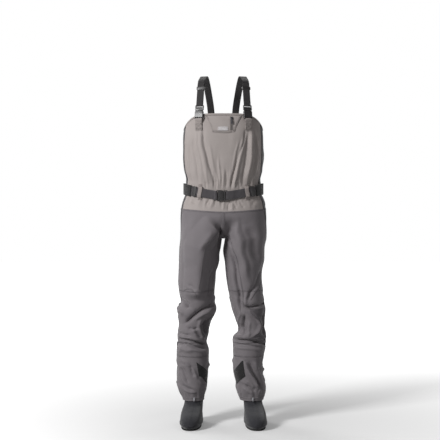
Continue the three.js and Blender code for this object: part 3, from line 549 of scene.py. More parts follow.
def smooth_path(points: Array, spacing: float) -> Array:
    """A curve through points, cut into equal steps no longer than spacing."""
    points = np.asarray(points, float)
    chords = np.sqrt(np.linalg.norm(np.diff(points, axis=0), axis=1))
    knots = np.concatenate([[0], np.cumsum(chords)])
    ends = np.vstack([2 * points[0] - points[1], points, 2 * points[-1] - points[-2]])
    marks = np.concatenate([[-chords[0]], knots, [knots[-1] + chords[-1]]])
    fine = []
    for k in range(1, len(points)):
        t = np.linspace(marks[k], marks[k + 1], 24)[:, None]
        a, b, c, d = ends[k - 1], ends[k], ends[k + 1], ends[k + 2]
        ta, tb, tc, td = marks[k - 1], marks[k], marks[k + 1], marks[k + 2]
        ab = (tb - t) / (tb - ta) * a + (t - ta) / (tb - ta) * b
        bc = (tc - t) / (tc - tb) * b + (t - tb) / (tc - tb) * c
        cd = (td - t) / (td - tc) * c + (t - tc) / (td - tc) * d
        abc = (tc - t) / (tc - ta) * ab + (t - ta) / (tc - ta) * bc
        bcd = (td - t) / (td - tb) * bc + (t - tb) / (td - tb) * cd
        fine.append((tc - t) / (tc - tb) * abc + (t - tb) / (tc - tb) * bcd)
    fine = np.vstack(fine)
    steps = np.concatenate([[0], np.cumsum(np.linalg.norm(np.diff(fine, axis=0), axis=1))])
    count = max(2, int(steps[-1] / spacing) + 1)
    at = np.linspace(0, steps[-1], count)
    return np.stack([np.interp(at, steps, fine[:, k]) for k in range(3)], -1)


def ribbon_mesh(name: str, path: Array, across: Array, width: float, thickness: float,
                crown: float = 0.0) -> bpy.types.Mesh:
    """Flat webbing with rounded edges along a path.

    Args:
        name: the mesh's name.
        path: the points of its middle line.
        across: the direction of its width, one for all or one for each point.
        width: its width.
        thickness: its thickness.
        crown: how far its middle stands above its edges.

    Returns:
        A closed mesh.
    """
    along = unit(np.gradient(path, axis=0))
    across = np.broadcast_to(across, path.shape)
    across = unit(across - along * (across * along).sum(-1, keepdims=True))
    out = np.cross(across, along)
    half, thin = width / 2, thickness / 2
    upper = [(-1.0, 0.0), (-0.985, 0.75), (-0.94, 1.0), (-0.5, 1.0), (0.0, 1.0), (0.5, 1.0),
             (0.94, 1.0), (0.985, 0.75), (1.0, 0.0)]
    lower = [(x, -y) for x, y in reversed(upper[1:-1])]
    section = np.array(upper + lower)
    arch = crown * (1 - section[:, 0] ** 2)
    rows = (path[:, None] + across[:, None] * (section[:, 0] * half)[None, :, None]
            + out[:, None] * (section[:, 1] * thin + arch)[None, :, None])
    length = np.concatenate([[0], np.cumsum(np.linalg.norm(np.diff(path, axis=0), axis=1))])
    u = np.broadcast_to(section[:, 0] * half, (len(path), len(section)))
    v = np.broadcast_to(length[:, None], (len(path), len(section)))
    return grid_mesh(name, rows, closed_round=True, caps=True, flip=True,
                     uv=np.stack([u, v], -1) * MM)


def cad_copy(node: str, name: str, material: bpy.types.Material, edge: float) -> bpy.types.Object:
    """A moulded piece: a CAD node's own shape with its edges rounded and softened.

    Args:
        node: the CAD node.
        name: the new piece's name.
        material: its finish.
        edge: the radius of its edges, in millimetres.

    Returns:
        The piece, which stands for the node.
    """
    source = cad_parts[node]
    mesh = source.data.copy()
    mesh.transform(source.matrix_world)
    shape = bmesh.new()
    shape.from_mesh(mesh)
    bmesh.ops.remove_doubles(shape, verts=shape.verts, dist=2e-5)
    bmesh.ops.dissolve_limit(shape, angle_limit=math.radians(2), verts=shape.verts, edges=shape.edges)
    shape.to_mesh(mesh)
    shape.free()
    piece = link(mesh, name, material)
    bevel = piece.modifiers.new("edges", "BEVEL")
    bevel.width = edge * MM
    bevel.segments = 2
    bevel.limit_method = "ANGLE"
    bevel.angle_limit = math.radians(25)
    bevel.use_clamp_overlap = True
    bevel.harden_normals = True
    mesh.polygons.foreach_set("use_smooth", [True] * len(mesh.polygons))
    return piece


# ------------------------------------------------------------------------- shader maths

class Value:
    """A shader socket whose sums and products are written as plain Python."""

    def __init__(self, web: "Web", socket: bpy.types.NodeSocket) -> None:
        """Wraps one output socket of a web of nodes."""
        self.web = web
        self.socket = socket

    def _math(self, operation: str, first: object, second: object) -> "Value":
        """One Math node of two values."""
        return self.web.node("ShaderNodeMath", {"operation": operation}, {0: first, 1: second})

    def __add__(self, other: object) -> "Value":
        """self + other."""
        return self._math("ADD", self, other)

    __radd__ = __add__

    def __sub__(self, other: object) -> "Value":
        """self - other."""
        return self._math("SUBTRACT", self, other)

    def __rsub__(self, other: object) -> "Value":
        """other - self."""
        return self._math("SUBTRACT", other, self)

    def __mul__(self, other: object) -> "Value":
        """self * other."""
        return self._math("MULTIPLY", self, other)

    __rmul__ = __mul__

    def __pow__(self, other: object) -> "Value":
        """self ** other."""
        return self._math("POWER", self, other)

    def sine(self) -> "Value":
        """The sine of self."""
        return self._math("SINE", self, 0.0)

    def absolute(self) -> "Value":
        """self without its sign."""
        return self._math("ABSOLUTE", self, 0.0)


class Web:
    """The nodes of one finish, ending in a Principled shader."""

    def __init__(self, name: str) -> None:
        """Starts a material.

        Args:
            name: the finish's name.
        """
        self.material = bpy.data.materials.new(name)
        self.material.use_nodes = True
        self.tree = self.material.node_tree
        self.shader = self.tree.nodes["Principled BSDF"]

    def node(self, kind: str, settings: dict, inputs: dict, output: object = 0) -> Value:
        """Adds any node.

        Args:
            kind: the node's type.
            settings: its own settings, set first.
            inputs: values or links for its sockets, by name or index.
            output: the output that is wanted.

        Returns:
            That output.
        """
        made = self.tree.nodes.new(kind)
        for key, setting in settings.items():
            setattr(made, key, setting)
        for key, value in inputs.items():
            if isinstance(value, Value):
                self.tree.links.new(value.socket, made.inputs[key])
            else:
                made.inputs[key].default_value = value
        return Value(self, made.outputs[output])

    def cloth_map(self) -> Value:
        """The piece's own map, in metres along the cloth."""
        return self.node("ShaderNodeUVMap", {"uv_map": "cloth"}, {})

    def place(self) -> Value:
        """Object coordinates."""
        return self.node("ShaderNodeTexCoord", {}, {}, "Object")

    def parts(self, vector: Value) -> tuple:
        """A vector's three numbers."""
        split = self.node("ShaderNodeSeparateXYZ", {}, {0: vector})
        node = split.socket.node
        return tuple(Value(self, node.outputs[k]) for k in range(3))

    def noise(self, vector: Value, scale: float, detail: float = 3.0, rough: float = 0.55) -> Value:
        """Soft noise from 0 to 1 at so many cells to a metre."""
        return self.node("ShaderNodeTexNoise", {}, {"Vector": vector, "Scale": scale,
                                                    "Detail": detail, "Roughness": rough})

    def mix(self, share: object, low: tuple, high: tuple) -> Value:
        """A colour between two colours."""
        made = self.tree.nodes.new("ShaderNodeMix")
        made.data_type = "RGBA"
        for index, value in ((0, share), (6, low), (7, high)):
            if isinstance(value, Value):
                self.tree.links.new(value.socket, made.inputs[index])
            else:
                made.inputs[index].default_value = value if index == 0 else (*value[:3], 1)
        return Value(self, made.outputs[2])

    def bump(self, height: Value, strength: float, distance: float,
             below: Optional[Value] = None) -> Value:
        """A bumped normal, over another one where given. distance is in millimetres."""
        inputs = {"Height": height, "Strength": strength, "Distance": distance * MM}
        if below is not None:
            inputs["Normal"] = below
        return self.node("ShaderNodeBump", {}, inputs)

    def finish(self, colour: Value, roughness: object, normal: Optional[Value] = None,
               **fixed: float) -> bpy.types.Material:
        """Feeds the shader and gives the material.

        Args:
            colour: goes to Base Color.
            roughness: a number or a value.
            normal: goes to Normal.
            fixed: other sockets, with _ for a space, set to plain numbers.

        Returns:
            The material.
        """
        self.tree.links.new(colour.socket, self.shader.inputs["Base Color"])
        if isinstance(roughness, Value):
            self.tree.links.new(roughness.socket, self.shader.inputs["Roughness"])
        else:
            self.shader.inputs["Roughness"].default_value = roughness
        if normal is not None:
            self.tree.links.new(normal.socket, self.shader.inputs["Normal"])
        for key, number in fixed.items():
            self.shader.inputs[key.replace("_", " ")].default_value = number
        return self.material


def light_of(step: int) -> float:
    """One display step of 0 to 255, as linear light."""
    share = step / 255
    return share / 12.92 if share <= 0.04045 else ((share + 0.055) / 1.055) ** 2.4


def linear(red: int, green: int, blue: int) -> tuple:
    """A colour given in display steps, as linear light."""
    return light_of(red), light_of(green), light_of(blue)


def shade(colour: tuple, factor: float) -> tuple:
    """The colour, darker or lighter by a factor."""
    return tuple(min(1.0, part * factor) for part in colour)


# ------------------------------------------------------------------------- finishes

@dataclass(frozen=True)
class ShellCloth:
    """Matte waterproof laminate with a fine plain weave and a faint ripstop line."""

    name: str
    colour: tuple
    pitch: float = 1.1          # millimetres between yarns
    depth: float = 0.05
    ripstop: float = 6.0
    sheen: float = 0.18

    def material(self) -> bpy.types.Material:
        """Builds the finish."""
        web = Web(self.name)
        flat = web.cloth_map()
        place = web.place()
        u, v, _ = web.parts(flat)
        turn = 2 * math.pi / (self.pitch * MM)
        weave = (u * turn).sine() * (v * turn).sine()
        slub = web.noise(flat, 900, 2)
        grid_turn = math.pi / (self.ripstop * MM)
        line_u = 1 - ((u * grid_turn).sine().absolute() ** 0.2)
        line_v = 1 - ((v * grid_turn).sine().absolute() ** 0.2)
        mottle = web.noise(place, 9, 4)
        grain = web.noise(flat, 420, 3, 0.7)
        tone = mottle * 0.55 + grain * 0.45
        colour = web.mix(tone, shade(self.colour, 0.86), shade(self.colour, 1.13))
        crinkle = web.noise(place, 34, 5, 0.62)
        normal = web.bump(crinkle, 0.35, 2.2)
        normal = web.bump(weave + slub * 0.6 + (line_u + line_v) * 0.8, 0.5, self.depth, normal)
        return web.finish(colour, mottle * 0.14 + 0.66, normal, Sheen_Weight=self.sheen,
                          Sheen_Roughness=0.4, Specular_IOR_Level=0.32)


@dataclass(frozen=True)
class Webbing:
    """Woven strap with ribs across it and thicker selvedges."""

    name: str
    colour: tuple
    half_width: float
    rib: float = 1.5
    depth: float = 0.18

    def material(self) -> bpy.types.Material:
        """Builds the finish."""
        web = Web(self.name)
        flat = web.cloth_map()
        u, v, _ = web.parts(flat)
        across = u.absolute() * (1 / (self.half_width * MM))
        lean = (u * (2 * math.pi / (4 * self.rib * MM))).sine() * 0.9
        ribs = (v * (2 * math.pi / (self.rib * MM)) + lean).sine()
        yarn = (u * (2 * math.pi / (0.7 * MM))).sine()
        edge = across ** 14
        fuzz = web.noise(flat, 1500, 2)
        tone = ribs * 0.22 + fuzz * 0.5 + 0.25
        colour = web.mix(tone, shade(self.colour, 0.68), shade(self.colour, 1.35))
        normal = web.bump(ribs + yarn * 0.4 + edge * 1.2 + fuzz * 0.5, 0.7, self.depth)
        return web.finish(colour, fuzz * 0.15 + 0.72, normal, Sheen_Weight=0.25,
                          Sheen_Roughness=0.5, Specular_IOR_Level=0.3)


@dataclass(frozen=True)
class Moulding:
    """Moulded acetal: satin, with a spark-eroded grain and scattered scuffs."""

    name: str
    colour: tuple
    roughness: float = 0.36

    def material(self) -> bpy.types.Material:
        """Builds the finish."""
        web = Web(self.name)
        place = web.place()
        grain = web.noise(place, 2600, 2)
        scuff = web.noise(place, 160, 4, 0.7)
        worn = web.node("ShaderNodeValToRGB", {}, {0: scuff})
        ramp = worn.socket.node.color_ramp
        ramp.elements[0].position, ramp.elements[1].position = 0.58, 0.78
        colour = web.mix(worn, self.colour, shade(self.colour, 2.2))
        normal = web.bump(grain, 0.35, 0.05)
        return web.finish(colour, grain * 0.12 + self.roughness + worn * 0.15, normal,
                          Specular_IOR_Level=0.5, Coat_Weight=0.06)


@dataclass(frozen=True)
class Neoprene:
    """Foam rubber faced with a fine knit."""

    name: str
    colour: tuple
    loop: float = 1.4

    def material(self) -> bpy.types.Material:
        """Builds the finish."""
        web = Web(self.name)
        flat = web.cloth_map()
        place = web.place()
        u, v, _ = web.parts(flat)
        wales = (u * (2 * math.pi / (self.loop * MM))).sine()
        courses = (v * (2 * math.pi / (self.loop * 0.8 * MM)) + wales * 1.3).sine()
        mottle = web.noise(place, 40, 4)
        dust = web.noise(place, 14, 5, 0.7)
        colour = web.mix(mottle * 0.6 + dust * 0.4, shade(self.colour, 0.75), shade(self.colour, 1.5))
        dent = web.bump(dust, 0.25, 3.0)
        normal = web.bump(courses + wales * 0.5, 0.5, 0.12, dent)
        return web.finish(colour, mottle * 0.1 + 0.8, normal, Sheen_Weight=0.35,
                          Sheen_Roughness=0.45, Specular_IOR_Level=0.25)


@dataclass(frozen=True)
class CoarseCloth:
    """Heavy abrasion-proof basket weave."""

    name: str
    colour: tuple
    pitch: float = 2.4

    def material(self) -> bpy.types.Material:
        """Builds the finish."""
        web = Web(self.name)
        flat = web.cloth_map()
        u, v, _ = web.parts(flat)
        turn = 2 * math.pi / (self.pitch * MM)
        check = (u * turn).sine() * (v * turn).sine()
        yarn = ((u + v) * (turn * 4)).sine()
        fuzz = web.noise(flat, 900, 3)
        colour = web.mix(check * 0.25 + fuzz * 0.6 + 0.1, shade(self.colour, 0.7),
                         shade(self.colour, 1.7))
        normal = web.bump(check + yarn * 0.3 + fuzz * 0.5, 0.8, 0.22)
        return web.finish(colour, fuzz * 0.12 + 0.74, normal, Sheen_Weight=0.2,
                          Sheen_Roughness=0.5, Specular_IOR_Level=0.3)


@dataclass(frozen=True)
class DarkMetal:
    """Blackened or satin metal with fine brushing."""

    name: str
    colour: tuple
    roughness: float = 0.32

    def material(self) -> bpy.types.Material:
        """Builds the finish."""
        web = Web(self.name)
        place = web.place()
        brushed = web.noise(place, 900, 3)
        worn = web.noise(place, 240, 4, 0.7)
        colour = web.mix(worn, shade(self.colour, 0.7), shade(self.colour, 1.5))
        normal = web.bump(brushed, 0.3, 0.04)
        return web.finish(colour, worn * 0.2 + self.roughness, normal, Metallic=0.9)


@dataclass(frozen=True)
class Rubber:
    """Dense sole rubber, matte and pitted."""

    name: str
    colour: tuple

    def material(self) -> bpy.types.Material:
        """Builds the finish."""
        web = Web(self.name)
        place = web.place()
        pits = web.noise(place, 700, 3)
        dust = web.noise(place, 30, 5, 0.7)
        colour = web.mix(dust, shade(self.colour, 0.8), shade(self.colour, 1.8))
        return web.finish(colour, dust * 0.15 + 0.72, web.bump(pits, 0.6, 0.25),
                          Specular_IOR_Level=0.35)


TAUPE = linear(160, 152, 149)
GREY = linear(115, 110, 113)
CHARCOAL = linear(72, 70, 72)
BLACK = linear(26, 25, 26)


class Wardrobe:
    """Every finish of the waders, made once."""

    def __init__(self) -> None:
        """Builds the materials."""
        self.bib = ShellCloth("taupe_shell_cloth", TAUPE).material()
        self.leg = ShellCloth("grey_shell_cloth", GREY).material()
        self.side = ShellCloth("charcoal_shell_cloth", CHARCOAL).material()
        self.kick = CoarseCloth("kick_cloth", BLACK).material()
        self.strap = Webbing("strap_webbing", linear(44, 42, 43), 16).material()
        self.belt = Webbing("belt_webbing", linear(70, 67, 70), 22).material()
        self.lumbar = Webbing("lumbar_webbing", linear(34, 33, 34), 27).material()
        self.tape = Webbing("loop_tape", linear(150, 141, 138), 9, 1.0, 0.1).material()
        self.tab = Webbing("tab_tape", linear(150, 142, 139), 16, 1.0, 0.1).material()
        # The knee gusset's darker grey is partly its own cloth and partly painted shade on the side of
        # each leg that faces away from the key lamp.
        self.gusset_painted_shade = ShellCloth("gusset_cloth_painted_shade", linear(88, 84, 87)).material()
        self.thread = Webbing("thread", linear(118, 111, 110), 0.4, 0.5, 0.05).material()
        self.dark_thread = Webbing("dark_thread", linear(88, 84, 87), 0.4, 0.5, 0.05).material()
        self.hardware = Moulding("moulded_hardware", linear(30, 28, 29)).material()
        self.neoprene = Neoprene("neoprene", linear(44, 44, 48)).material()
        self.sole = Rubber("sole_rubber", linear(30, 30, 31)).material()
        self.zip_tape = Webbing("zip_tape", linear(112, 106, 104), 7, 0.8, 0.06).material()
        self.zip_metal = DarkMetal("zip_metal", linear(80, 80, 84)).material()
        self.badge = CoarseCloth("badge_cloth", linear(196, 192, 193), 1.4).material()
        self.steel = DarkMetal("hook_steel", linear(150, 150, 154), 0.28).material()


# ------------------------------------------------------------------------- stitches

@dataclass(frozen=True)
class StitchRow:
    """Rows of thread stitches, laid along paths by one Geometry Nodes tree.

    The pitch from stitch to stitch and the thread's thickness are millimetres.
    """

    pitch: float = 3.2
    thread: float = 0.55
    stretch: tuple = (0.8, 0.8, 2.2)        # a stitch's shape, longest along its row

    def tree(self, material: bpy.types.Material) -> bpy.types.NodeTree:
        """Builds the tree: a point every pitch along the line, a small capsule on each."""
        tree = bpy.data.node_groups.new("stitches", "GeometryNodeTree")
        face = tree.interface
        for name, way, kind in (("Geometry", "INPUT", "Geometry"), ("Pitch", "INPUT", "Float"),
                                ("Thread", "INPUT", "Float"), ("Geometry", "OUTPUT", "Geometry")):
            face.new_socket(name, in_out=way, socket_type="NodeSocket" + kind)
        entry, leave = (tree.nodes.new(kind) for kind in ("NodeGroupInput", "NodeGroupOutput"))
        curve, points, capsule, place, real, dressed = (
            tree.nodes.new("GeometryNode" + kind) for kind in (
                "MeshToCurve", "CurveToPoints", "MeshUVSphere", "InstanceOnPoints",
                "RealizeInstances", "SetMaterial"))
        stretch = tree.nodes.new("ShaderNodeCombineXYZ")
        points.mode = "LENGTH"
        capsule.inputs["Segments"].default_value = 6
        capsule.inputs["Rings"].default_value = 4
        dressed.inputs["Material"].default_value = material
        for axis, size in enumerate(self.stretch):
            stretch.inputs[axis].default_value = size
        for source, output, target, entrance in (
                (entry, "Geometry", curve, 0), (curve, 0, points, "Curve"),
                (entry, "Pitch", points, "Length"), (entry, "Thread", capsule, "Radius"),
                (points, "Points", place, "Points"), (capsule, "Mesh", place, "Instance"),
                (points, "Rotation", place, "Rotation"), (stretch, 0, place, "Scale"),
                (place, 0, real, 0), (real, 0, dressed, "Geometry"), (dressed, 0, leave, 0)):
            tree.links.new(source.outputs[output], target.inputs[entrance])
        return tree

    def sew(self, name: str, lines: Sequence[Array], material: bpy.types.Material) -> bpy.types.Object:
        """Sews rows of stitches as one piece.

        Args:
            name: the piece's name.
            lines: the middle line of each row, in millimetres.
            material: the thread's finish.

        Returns:
            The piece, as a plain mesh.
        """
        vertices, edges = [], []
        for line in lines:
            start = len(vertices)
            vertices += to_frame(line).tolist()
            edges += [(start + k, start + k + 1) for k in range(len(line) - 1)]
        mesh = bpy.data.meshes.new(name + "_lines")
        mesh.from_pydata(vertices, edges, [])
        carrier = bpy.data.objects.new(name + "_lines", mesh)
        bpy.context.collection.objects.link(carrier)
        tree = self.tree(material)
        modifier = carrier.modifiers.new("stitches", "NODES")
        modifier.node_group = tree
        sockets = {item.name: item.identifier for item in tree.interface.items_tree
                   if item.in_out == "INPUT"}
        modifier[sockets["Pitch"]] = self.pitch * MM
        modifier[sockets["Thread"]] = self.thread * MM
        bpy.context.view_layer.update()
        graph = bpy.context.evaluated_depsgraph_get()
        sewn = bpy.data.meshes.new_from_object(carrier.evaluated_get(graph))
        bpy.data.objects.remove(carrier)
        sewn.name = name
        if "cloth" not in sewn.uv_layers:
            sewn.uv_layers.new(name="cloth")
        sewn.polygons.foreach_set("use_smooth", [True] * len(sewn.polygons))
        return link(sewn, name, material)


# ------------------------------------------------------------------------- putting pieces on

def dress(piece: bpy.types.Object, body: str, slot: str, *nodes: str) -> bpy.types.Object:
    """Puts a piece on its body and hides the nodes that it stands for."""
    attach(piece, body)
    if nodes:
        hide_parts(*nodes)
    log.info("%s rides on %s", piece.name, body)
    return piece


def sew_on(name: str, lines: Sequence[Array], thread: bpy.types.Material, slot: str,
           pitch: float = 3.2, size: float = 0.55, body: str = "shell") -> None:
    """Sews rows of stitches on a body.

    Args:
        name: the piece's name.
        lines: the middle line of each row.
        thread: the thread's finish.
        slot: the thread's slot; not used.
        pitch: from one stitch to the next.
        size: the thread's thickness.
        body: the body that it rides on.
    """
    dress(StitchRow(pitch, size).sew(name, lines, thread), body, slot)


def mould(node: str, name: str, finish: bpy.types.Material, edge: float, body: str, slot: str) -> None:
    """Puts a moulded copy of a CAD node on its body."""
    dress(cad_copy(node, name, finish, edge), body, slot, node)


# ------------------------------------------------------------------------- this pair's folds


@dataclass(frozen=True)
class Laid:
    """A fold on a tube's front, given by the places that it passes, as x and height."""

    points: tuple
    width: float
    lift: float
    crest: Crest = Crest.SOFT
    lean: float = 0.0
    fade: float = 0.25

    def on(self, tube: Tube, depth: float) -> Fold:
        """The fold in the tube's own turns and heights, made deeper by a factor.

        A raised fold is held to a share of its width, so that it stays cloth-like from the side.
        """
        path = tuple(tube.turn_at(x, z) for x, z in self.points)
        lift = min(self.lift * depth, self.width * 0.66)
        return Fold(path, self.width, lift, self.crest, self.lean, self.fade)


TRUNK_FOLDS = (
    Laid(((-96, 1352), (-84, 1250), (-70, 1180), (-50, 1118), (-45, 1066)), 7, -6, Crest.SHARP, 0.3, 0.1),
    Laid(((-104, 1345), (-97, 1250), (-86, 1183), (-70, 1120), (-62, 1066)), 14, 6),
    Laid(((-120, 1335), (-116, 1240), (-100, 1160), (-88, 1096)), 12, 5, Crest.TENT, -0.3, 0.2),
    Laid(((-136, 1300), (-134, 1220), (-120, 1150), (-106, 1092)), 10, -6, Crest.SHARP, 0.2, 0.2),
    Laid(((-22, 1210), (-18, 1130), (-14, 1066)), 10, 3.5, Crest.TENT, 0, 0.3),
    Laid(((102, 1352), (86, 1258), (64, 1188), (46, 1127), (32, 1062)), 7, -7.5, Crest.SHARP, -0.3, 0.1),
    Laid(((92, 1310), (78, 1236), (64, 1168), (54, 1104), (46, 1066)), 14, 7, Crest.TENT, 0.2, 0.2),
    Laid(((108, 1330), (106, 1245), (98, 1165), (84, 1080)), 12, -8, Crest.SHARP, -0.25, 0.2),
    Laid(((118, 1345), (124, 1270), (120, 1190), (106, 1105)), 13, 7, Crest.TENT, 0.25, 0.2),
    Laid(((136, 1330), (146, 1255), (143, 1180), (128, 1100)), 9, -7, Crest.SHARP, 0.2, 0.2),
    Laid(((152, 1310), (160, 1230), (152, 1150), (138, 1096)), 11, 7, Crest.TENT),
    Laid(((66, 1280), (52, 1200), (36, 1130)), 9, 2.5, Crest.TENT),
    Laid(((-62, 1270), (-50, 1190), (-34, 1120)), 9, 2.2, Crest.TENT),
    Laid(((-150, 1270), (-156, 1190), (-146, 1120)), 11, -6, Crest.SHARP),
    Laid(((10, 1150), (14, 1100), (10, 1062)), 7, -2.5, Crest.SHARP),
    Laid(((-80, 1100), (-78, 1050)), 6, -4, Crest.SHARP),
    Laid(((-34, 1110), (-32, 1056)), 6, -3.5, Crest.SHARP),
    Laid(((70, 1096), (72, 1052)), 7, -4, Crest.SHARP),
    Laid(((117, 1098), (117, 1056)), 8, -4),
    Laid(((155, 1100), (155, 1060)), 8, -4),
    Laid(((-60, 1020), (-70, 1004), (-82, 988)), 7, -4, Crest.SHARP),
    Laid(((-42, 1018), (-52, 1000), (-60, 974)), 8, 3.5),
    Laid(((28, 1012), (24, 990), (21, 964)), 7, -5, Crest.SHARP),
    Laid(((47, 1006), (52, 990), (58, 974)), 6, -4, Crest.SHARP),
    Laid(((38, 1004), (39, 986), (40, 966)), 7, 3.5),
    Laid(((76, 1006), (82, 990), (90, 976)), 6, -3.5, Crest.SHARP),
    Laid(((140, 1010), (128, 990)), 8, -3),
    Laid(((-140, 1016), (-132, 996)), 8, -3),
)
RIGHT_FOLDS = (
    Laid(((-26, 922), (-56, 862), (-98, 802), (-104, 740), (-110, 640), (-120, 560)),
         50, 20, Crest.TENT, 0.2, 0.1),
    Laid(((-10, 900), (-17, 840), (-22, 780)), 12, -9, Crest.SHARP),
    Laid(((-62, 880), (-96, 812), (-112, 780)), 7, 3.5, Crest.SHARP),
    Laid(((-150, 940), (-146, 820), (-152, 700)), 26, 5),
    Laid(((-44, 700), (-58, 640), (-60, 570)), 12, -7, Crest.SHARP),
    Laid(((-150, 640), (-132, 630), (-120, 612)), 7, -3.5, Crest.SHARP),
    Laid(((-196, 566), (-178, 552), (-150, 534)), 8, -16, Crest.SHARP, 0, 0.15),
    Laid(((-206, 528), (-192, 512), (-176, 500)), 15, 6, Crest.TENT),
    Laid(((-44, 545), (-92, 520), (-140, 486), (-176, 458)), 9, -14, Crest.SHARP, 0.25, 0.12),
    Laid(((-50, 520), (-92, 498), (-130, 474)), 12, 9, Crest.TENT, 0.2),
    Laid(((-98, 484), (-110, 446), (-96, 404), (-84, 378)), 8, 8, Crest.TENT, 0.25),
    Laid(((-78, 476), (-84, 440), (-76, 408)), 13, -9),
    Laid(((-176, 480), (-146, 448), (-126, 418), (-116, 388)), 7, 6, Crest.SHARP),
    Laid(((-160, 440), (-138, 432), (-112, 436)), 6, -5, Crest.SHARP),
    Laid(((-200, 418), (-170, 406), (-140, 402)), 7, -6, Crest.SHARP),
    Laid(((-130, 424), (-112, 410), (-96, 392)), 6, -5, Crest.SHARP),
    Laid(((-200, 398), (-150, 392), (-104, 380), (-78, 374)), 9, 7, Crest.TENT),
    Laid(((-204, 388), (-166, 384), (-130, 376), (-80, 362)), 6, -13, Crest.SHARP, 0.2, 0.1),
    Laid(((-204, 366), (-168, 366), (-128, 352), (-78, 344)), 7, -9, Crest.SHARP, -0.2, 0.1),
    Laid(((-150, 344), (-110, 334), (-74, 332)), 8, 6, Crest.TENT),
    Laid(((-200, 348), (-160, 336), (-130, 340)), 10, 5),
)
LEFT_FOLDS = (
    Laid(((12, 880), (34, 800), (56, 705), (74, 610), (88, 545)), 8, 6, Crest.TENT, 0.2),
    Laid(((30, 780), (50, 690), (62, 610), (72, 540), (84, 490)), 9, -13, Crest.SHARP, 0.2, 0.2),
    Laid(((60, 930), (76, 830), (96, 730), (112, 640)), 22, 9, Crest.TENT, -0.3),
    Laid(((36, 860), (52, 790), (66, 720)), 7, 4, Crest.SHARP),
    Laid(((112, 900), (140, 800), (156, 720)), 20, -8),
    Laid(((172, 700), (150, 640), (118, 600), (112, 560)), 10, -7, Crest.SHARP),
    Laid(((106, 610), (100, 570), (104, 530)), 9, 6, Crest.TENT),
    Laid(((196, 545), (158, 542), (118, 530), (92, 540)), 6, -12, Crest.SHARP, 0, 0.15),
    Laid(((80, 510), (68, 455), (58, 405)), 9, 8, Crest.TENT, -0.2),
    Laid(((96, 500), (84, 440), (86, 400)), 10, -11, Crest.SHARP, 0.2),
    Laid(((118, 516), (158, 482), (168, 452), (158, 424), (118, 390)), 14, 10, Crest.TENT),
    Laid(((182, 510), (186, 450), (172, 400)), 16, -9),
    Laid(((122, 470), (112, 424), (108, 388)), 8, 6, Crest.TENT),
    Laid(((196, 392), (160, 392), (128, 386)), 8, 8, Crest.TENT),
    Laid(((46, 398), (66, 398), (90, 394)), 10, 11, Crest.TENT),
    Laid(((44, 386), (100, 380), (150, 370), (194, 356)), 6, -15, Crest.SHARP, 0.2, 0.1),
    Laid(((196, 382), (168, 376), (140, 376)), 6, -10, Crest.SHARP, 0, 0.2),
    Laid(((192, 366), (172, 362), (150, 366)), 8, 7, Crest.TENT),
    Laid(((52, 366), (110, 358), (180, 344)), 8, -6, Crest.SHARP),
    Laid(((54, 352), (116, 346), (180, 332)), 9, 5, Crest.TENT),
)
RIGHT_GUARD_FOLDS = (
    Laid(((-200, 306), (-160, 314), (-124, 308), (-72, 306)), 6, -9, Crest.SHARP),
    Laid(((-78, 330), (-96, 318), (-126, 306)), 8, 5, Crest.TENT),
    Laid(((-200, 300), (-168, 282), (-136, 250), (-112, 196)), 10, 10, Crest.TENT, 0.3),
    Laid(((-196, 262), (-176, 222), (-152, 186)), 8, -7, Crest.SHARP),
    Laid(((-206, 250), (-192, 214), (-166, 186), (-126, 166)), 8, 7, Crest.TENT),
    Laid(((-150, 274), (-144, 240), (-128, 216)), 7, -5, Crest.SHARP),
    Laid(((-118, 214), (-98, 190), (-76, 174)), 7, 7, Crest.TENT),
    Laid(((-190, 180), (-160, 166), (-130, 160)), 6, -6, Crest.SHARP),
    Laid(((-180, 160), (-150, 150), (-116, 148)), 6, 5, Crest.TENT),
)
LEFT_GUARD_FOLDS = (
    Laid(((84, 306), (108, 264), (134, 216), (154, 176), (172, 136)), 9, 12, Crest.TENT, -0.35),
    Laid(((106, 300), (134, 250), (158, 200), (176, 150)), 10, -12, Crest.SHARP),
    Laid(((74, 312), (96, 300), (106, 286)), 6, -7, Crest.SHARP),
    Laid(((100, 326), (116, 316)), 6, -6, Crest.SHARP),
    Laid(((140, 290), (156, 250), (168, 216)), 9, 7, Crest.TENT),
    Laid(((98, 204), (118, 190), (138, 168)), 6, 7, Crest.TENT),
    Laid(((92, 184), (116, 172), (144, 150)), 6, -7, Crest.SHARP),
    Laid(((86, 170), (106, 156), (130, 142)), 6, 6, Crest.TENT),
    Laid(((160, 200), (166, 176), (156, 150)), 7, -6, Crest.SHARP),
)
STANCE = {
    RIGHT: Stations([[100, 3, -4, 0], [135, 8, -7, 0], [175, 12, -3, 0], [230, 13, -2, 0],
                     [266, 13, -2, 0], [304, 12, -2, 0], [330, 11, -1, 0], [368, 14, -7, 0],
                     [405, 12, -1, 0], [458, 9, 2, 0], [505, 6, 12, 0], [528, 3, 8, 0],
                     [547, 3, 0, 0], [573, 6, -1, 0], [611, 10, 0, 0], [643, 12, 0, 0],
                     [690, 13, -4, 0], [712, 10, -2, 0], [738, 8, -1, 0], [769, 8, -2, 0],
                     [801, 5, 0, 0], [838, 0, 0, 0]]),
    LEFT: Stations([[100, -3, 0, 0], [135, -5, 1, 0], [177, -6, -5, 0], [228, -16, -6, 0],
                    [292, -14, -7, 0], [356, -10, 2, 0], [391, -8, 3, 0], [419, 5, -8, 0],
                    [467, 2, -6, 0], [520, -1, -1, 0], [579, -8, -2, 0], [611, -11, -2, 0],
                    [649, -14, -5, 0], [693, -13, -6, 0], [738, -8, -2, 0], [776, -9, 1, 0],
                    [801, -7, 0, 0], [838, 0, 0, 0]]),
}


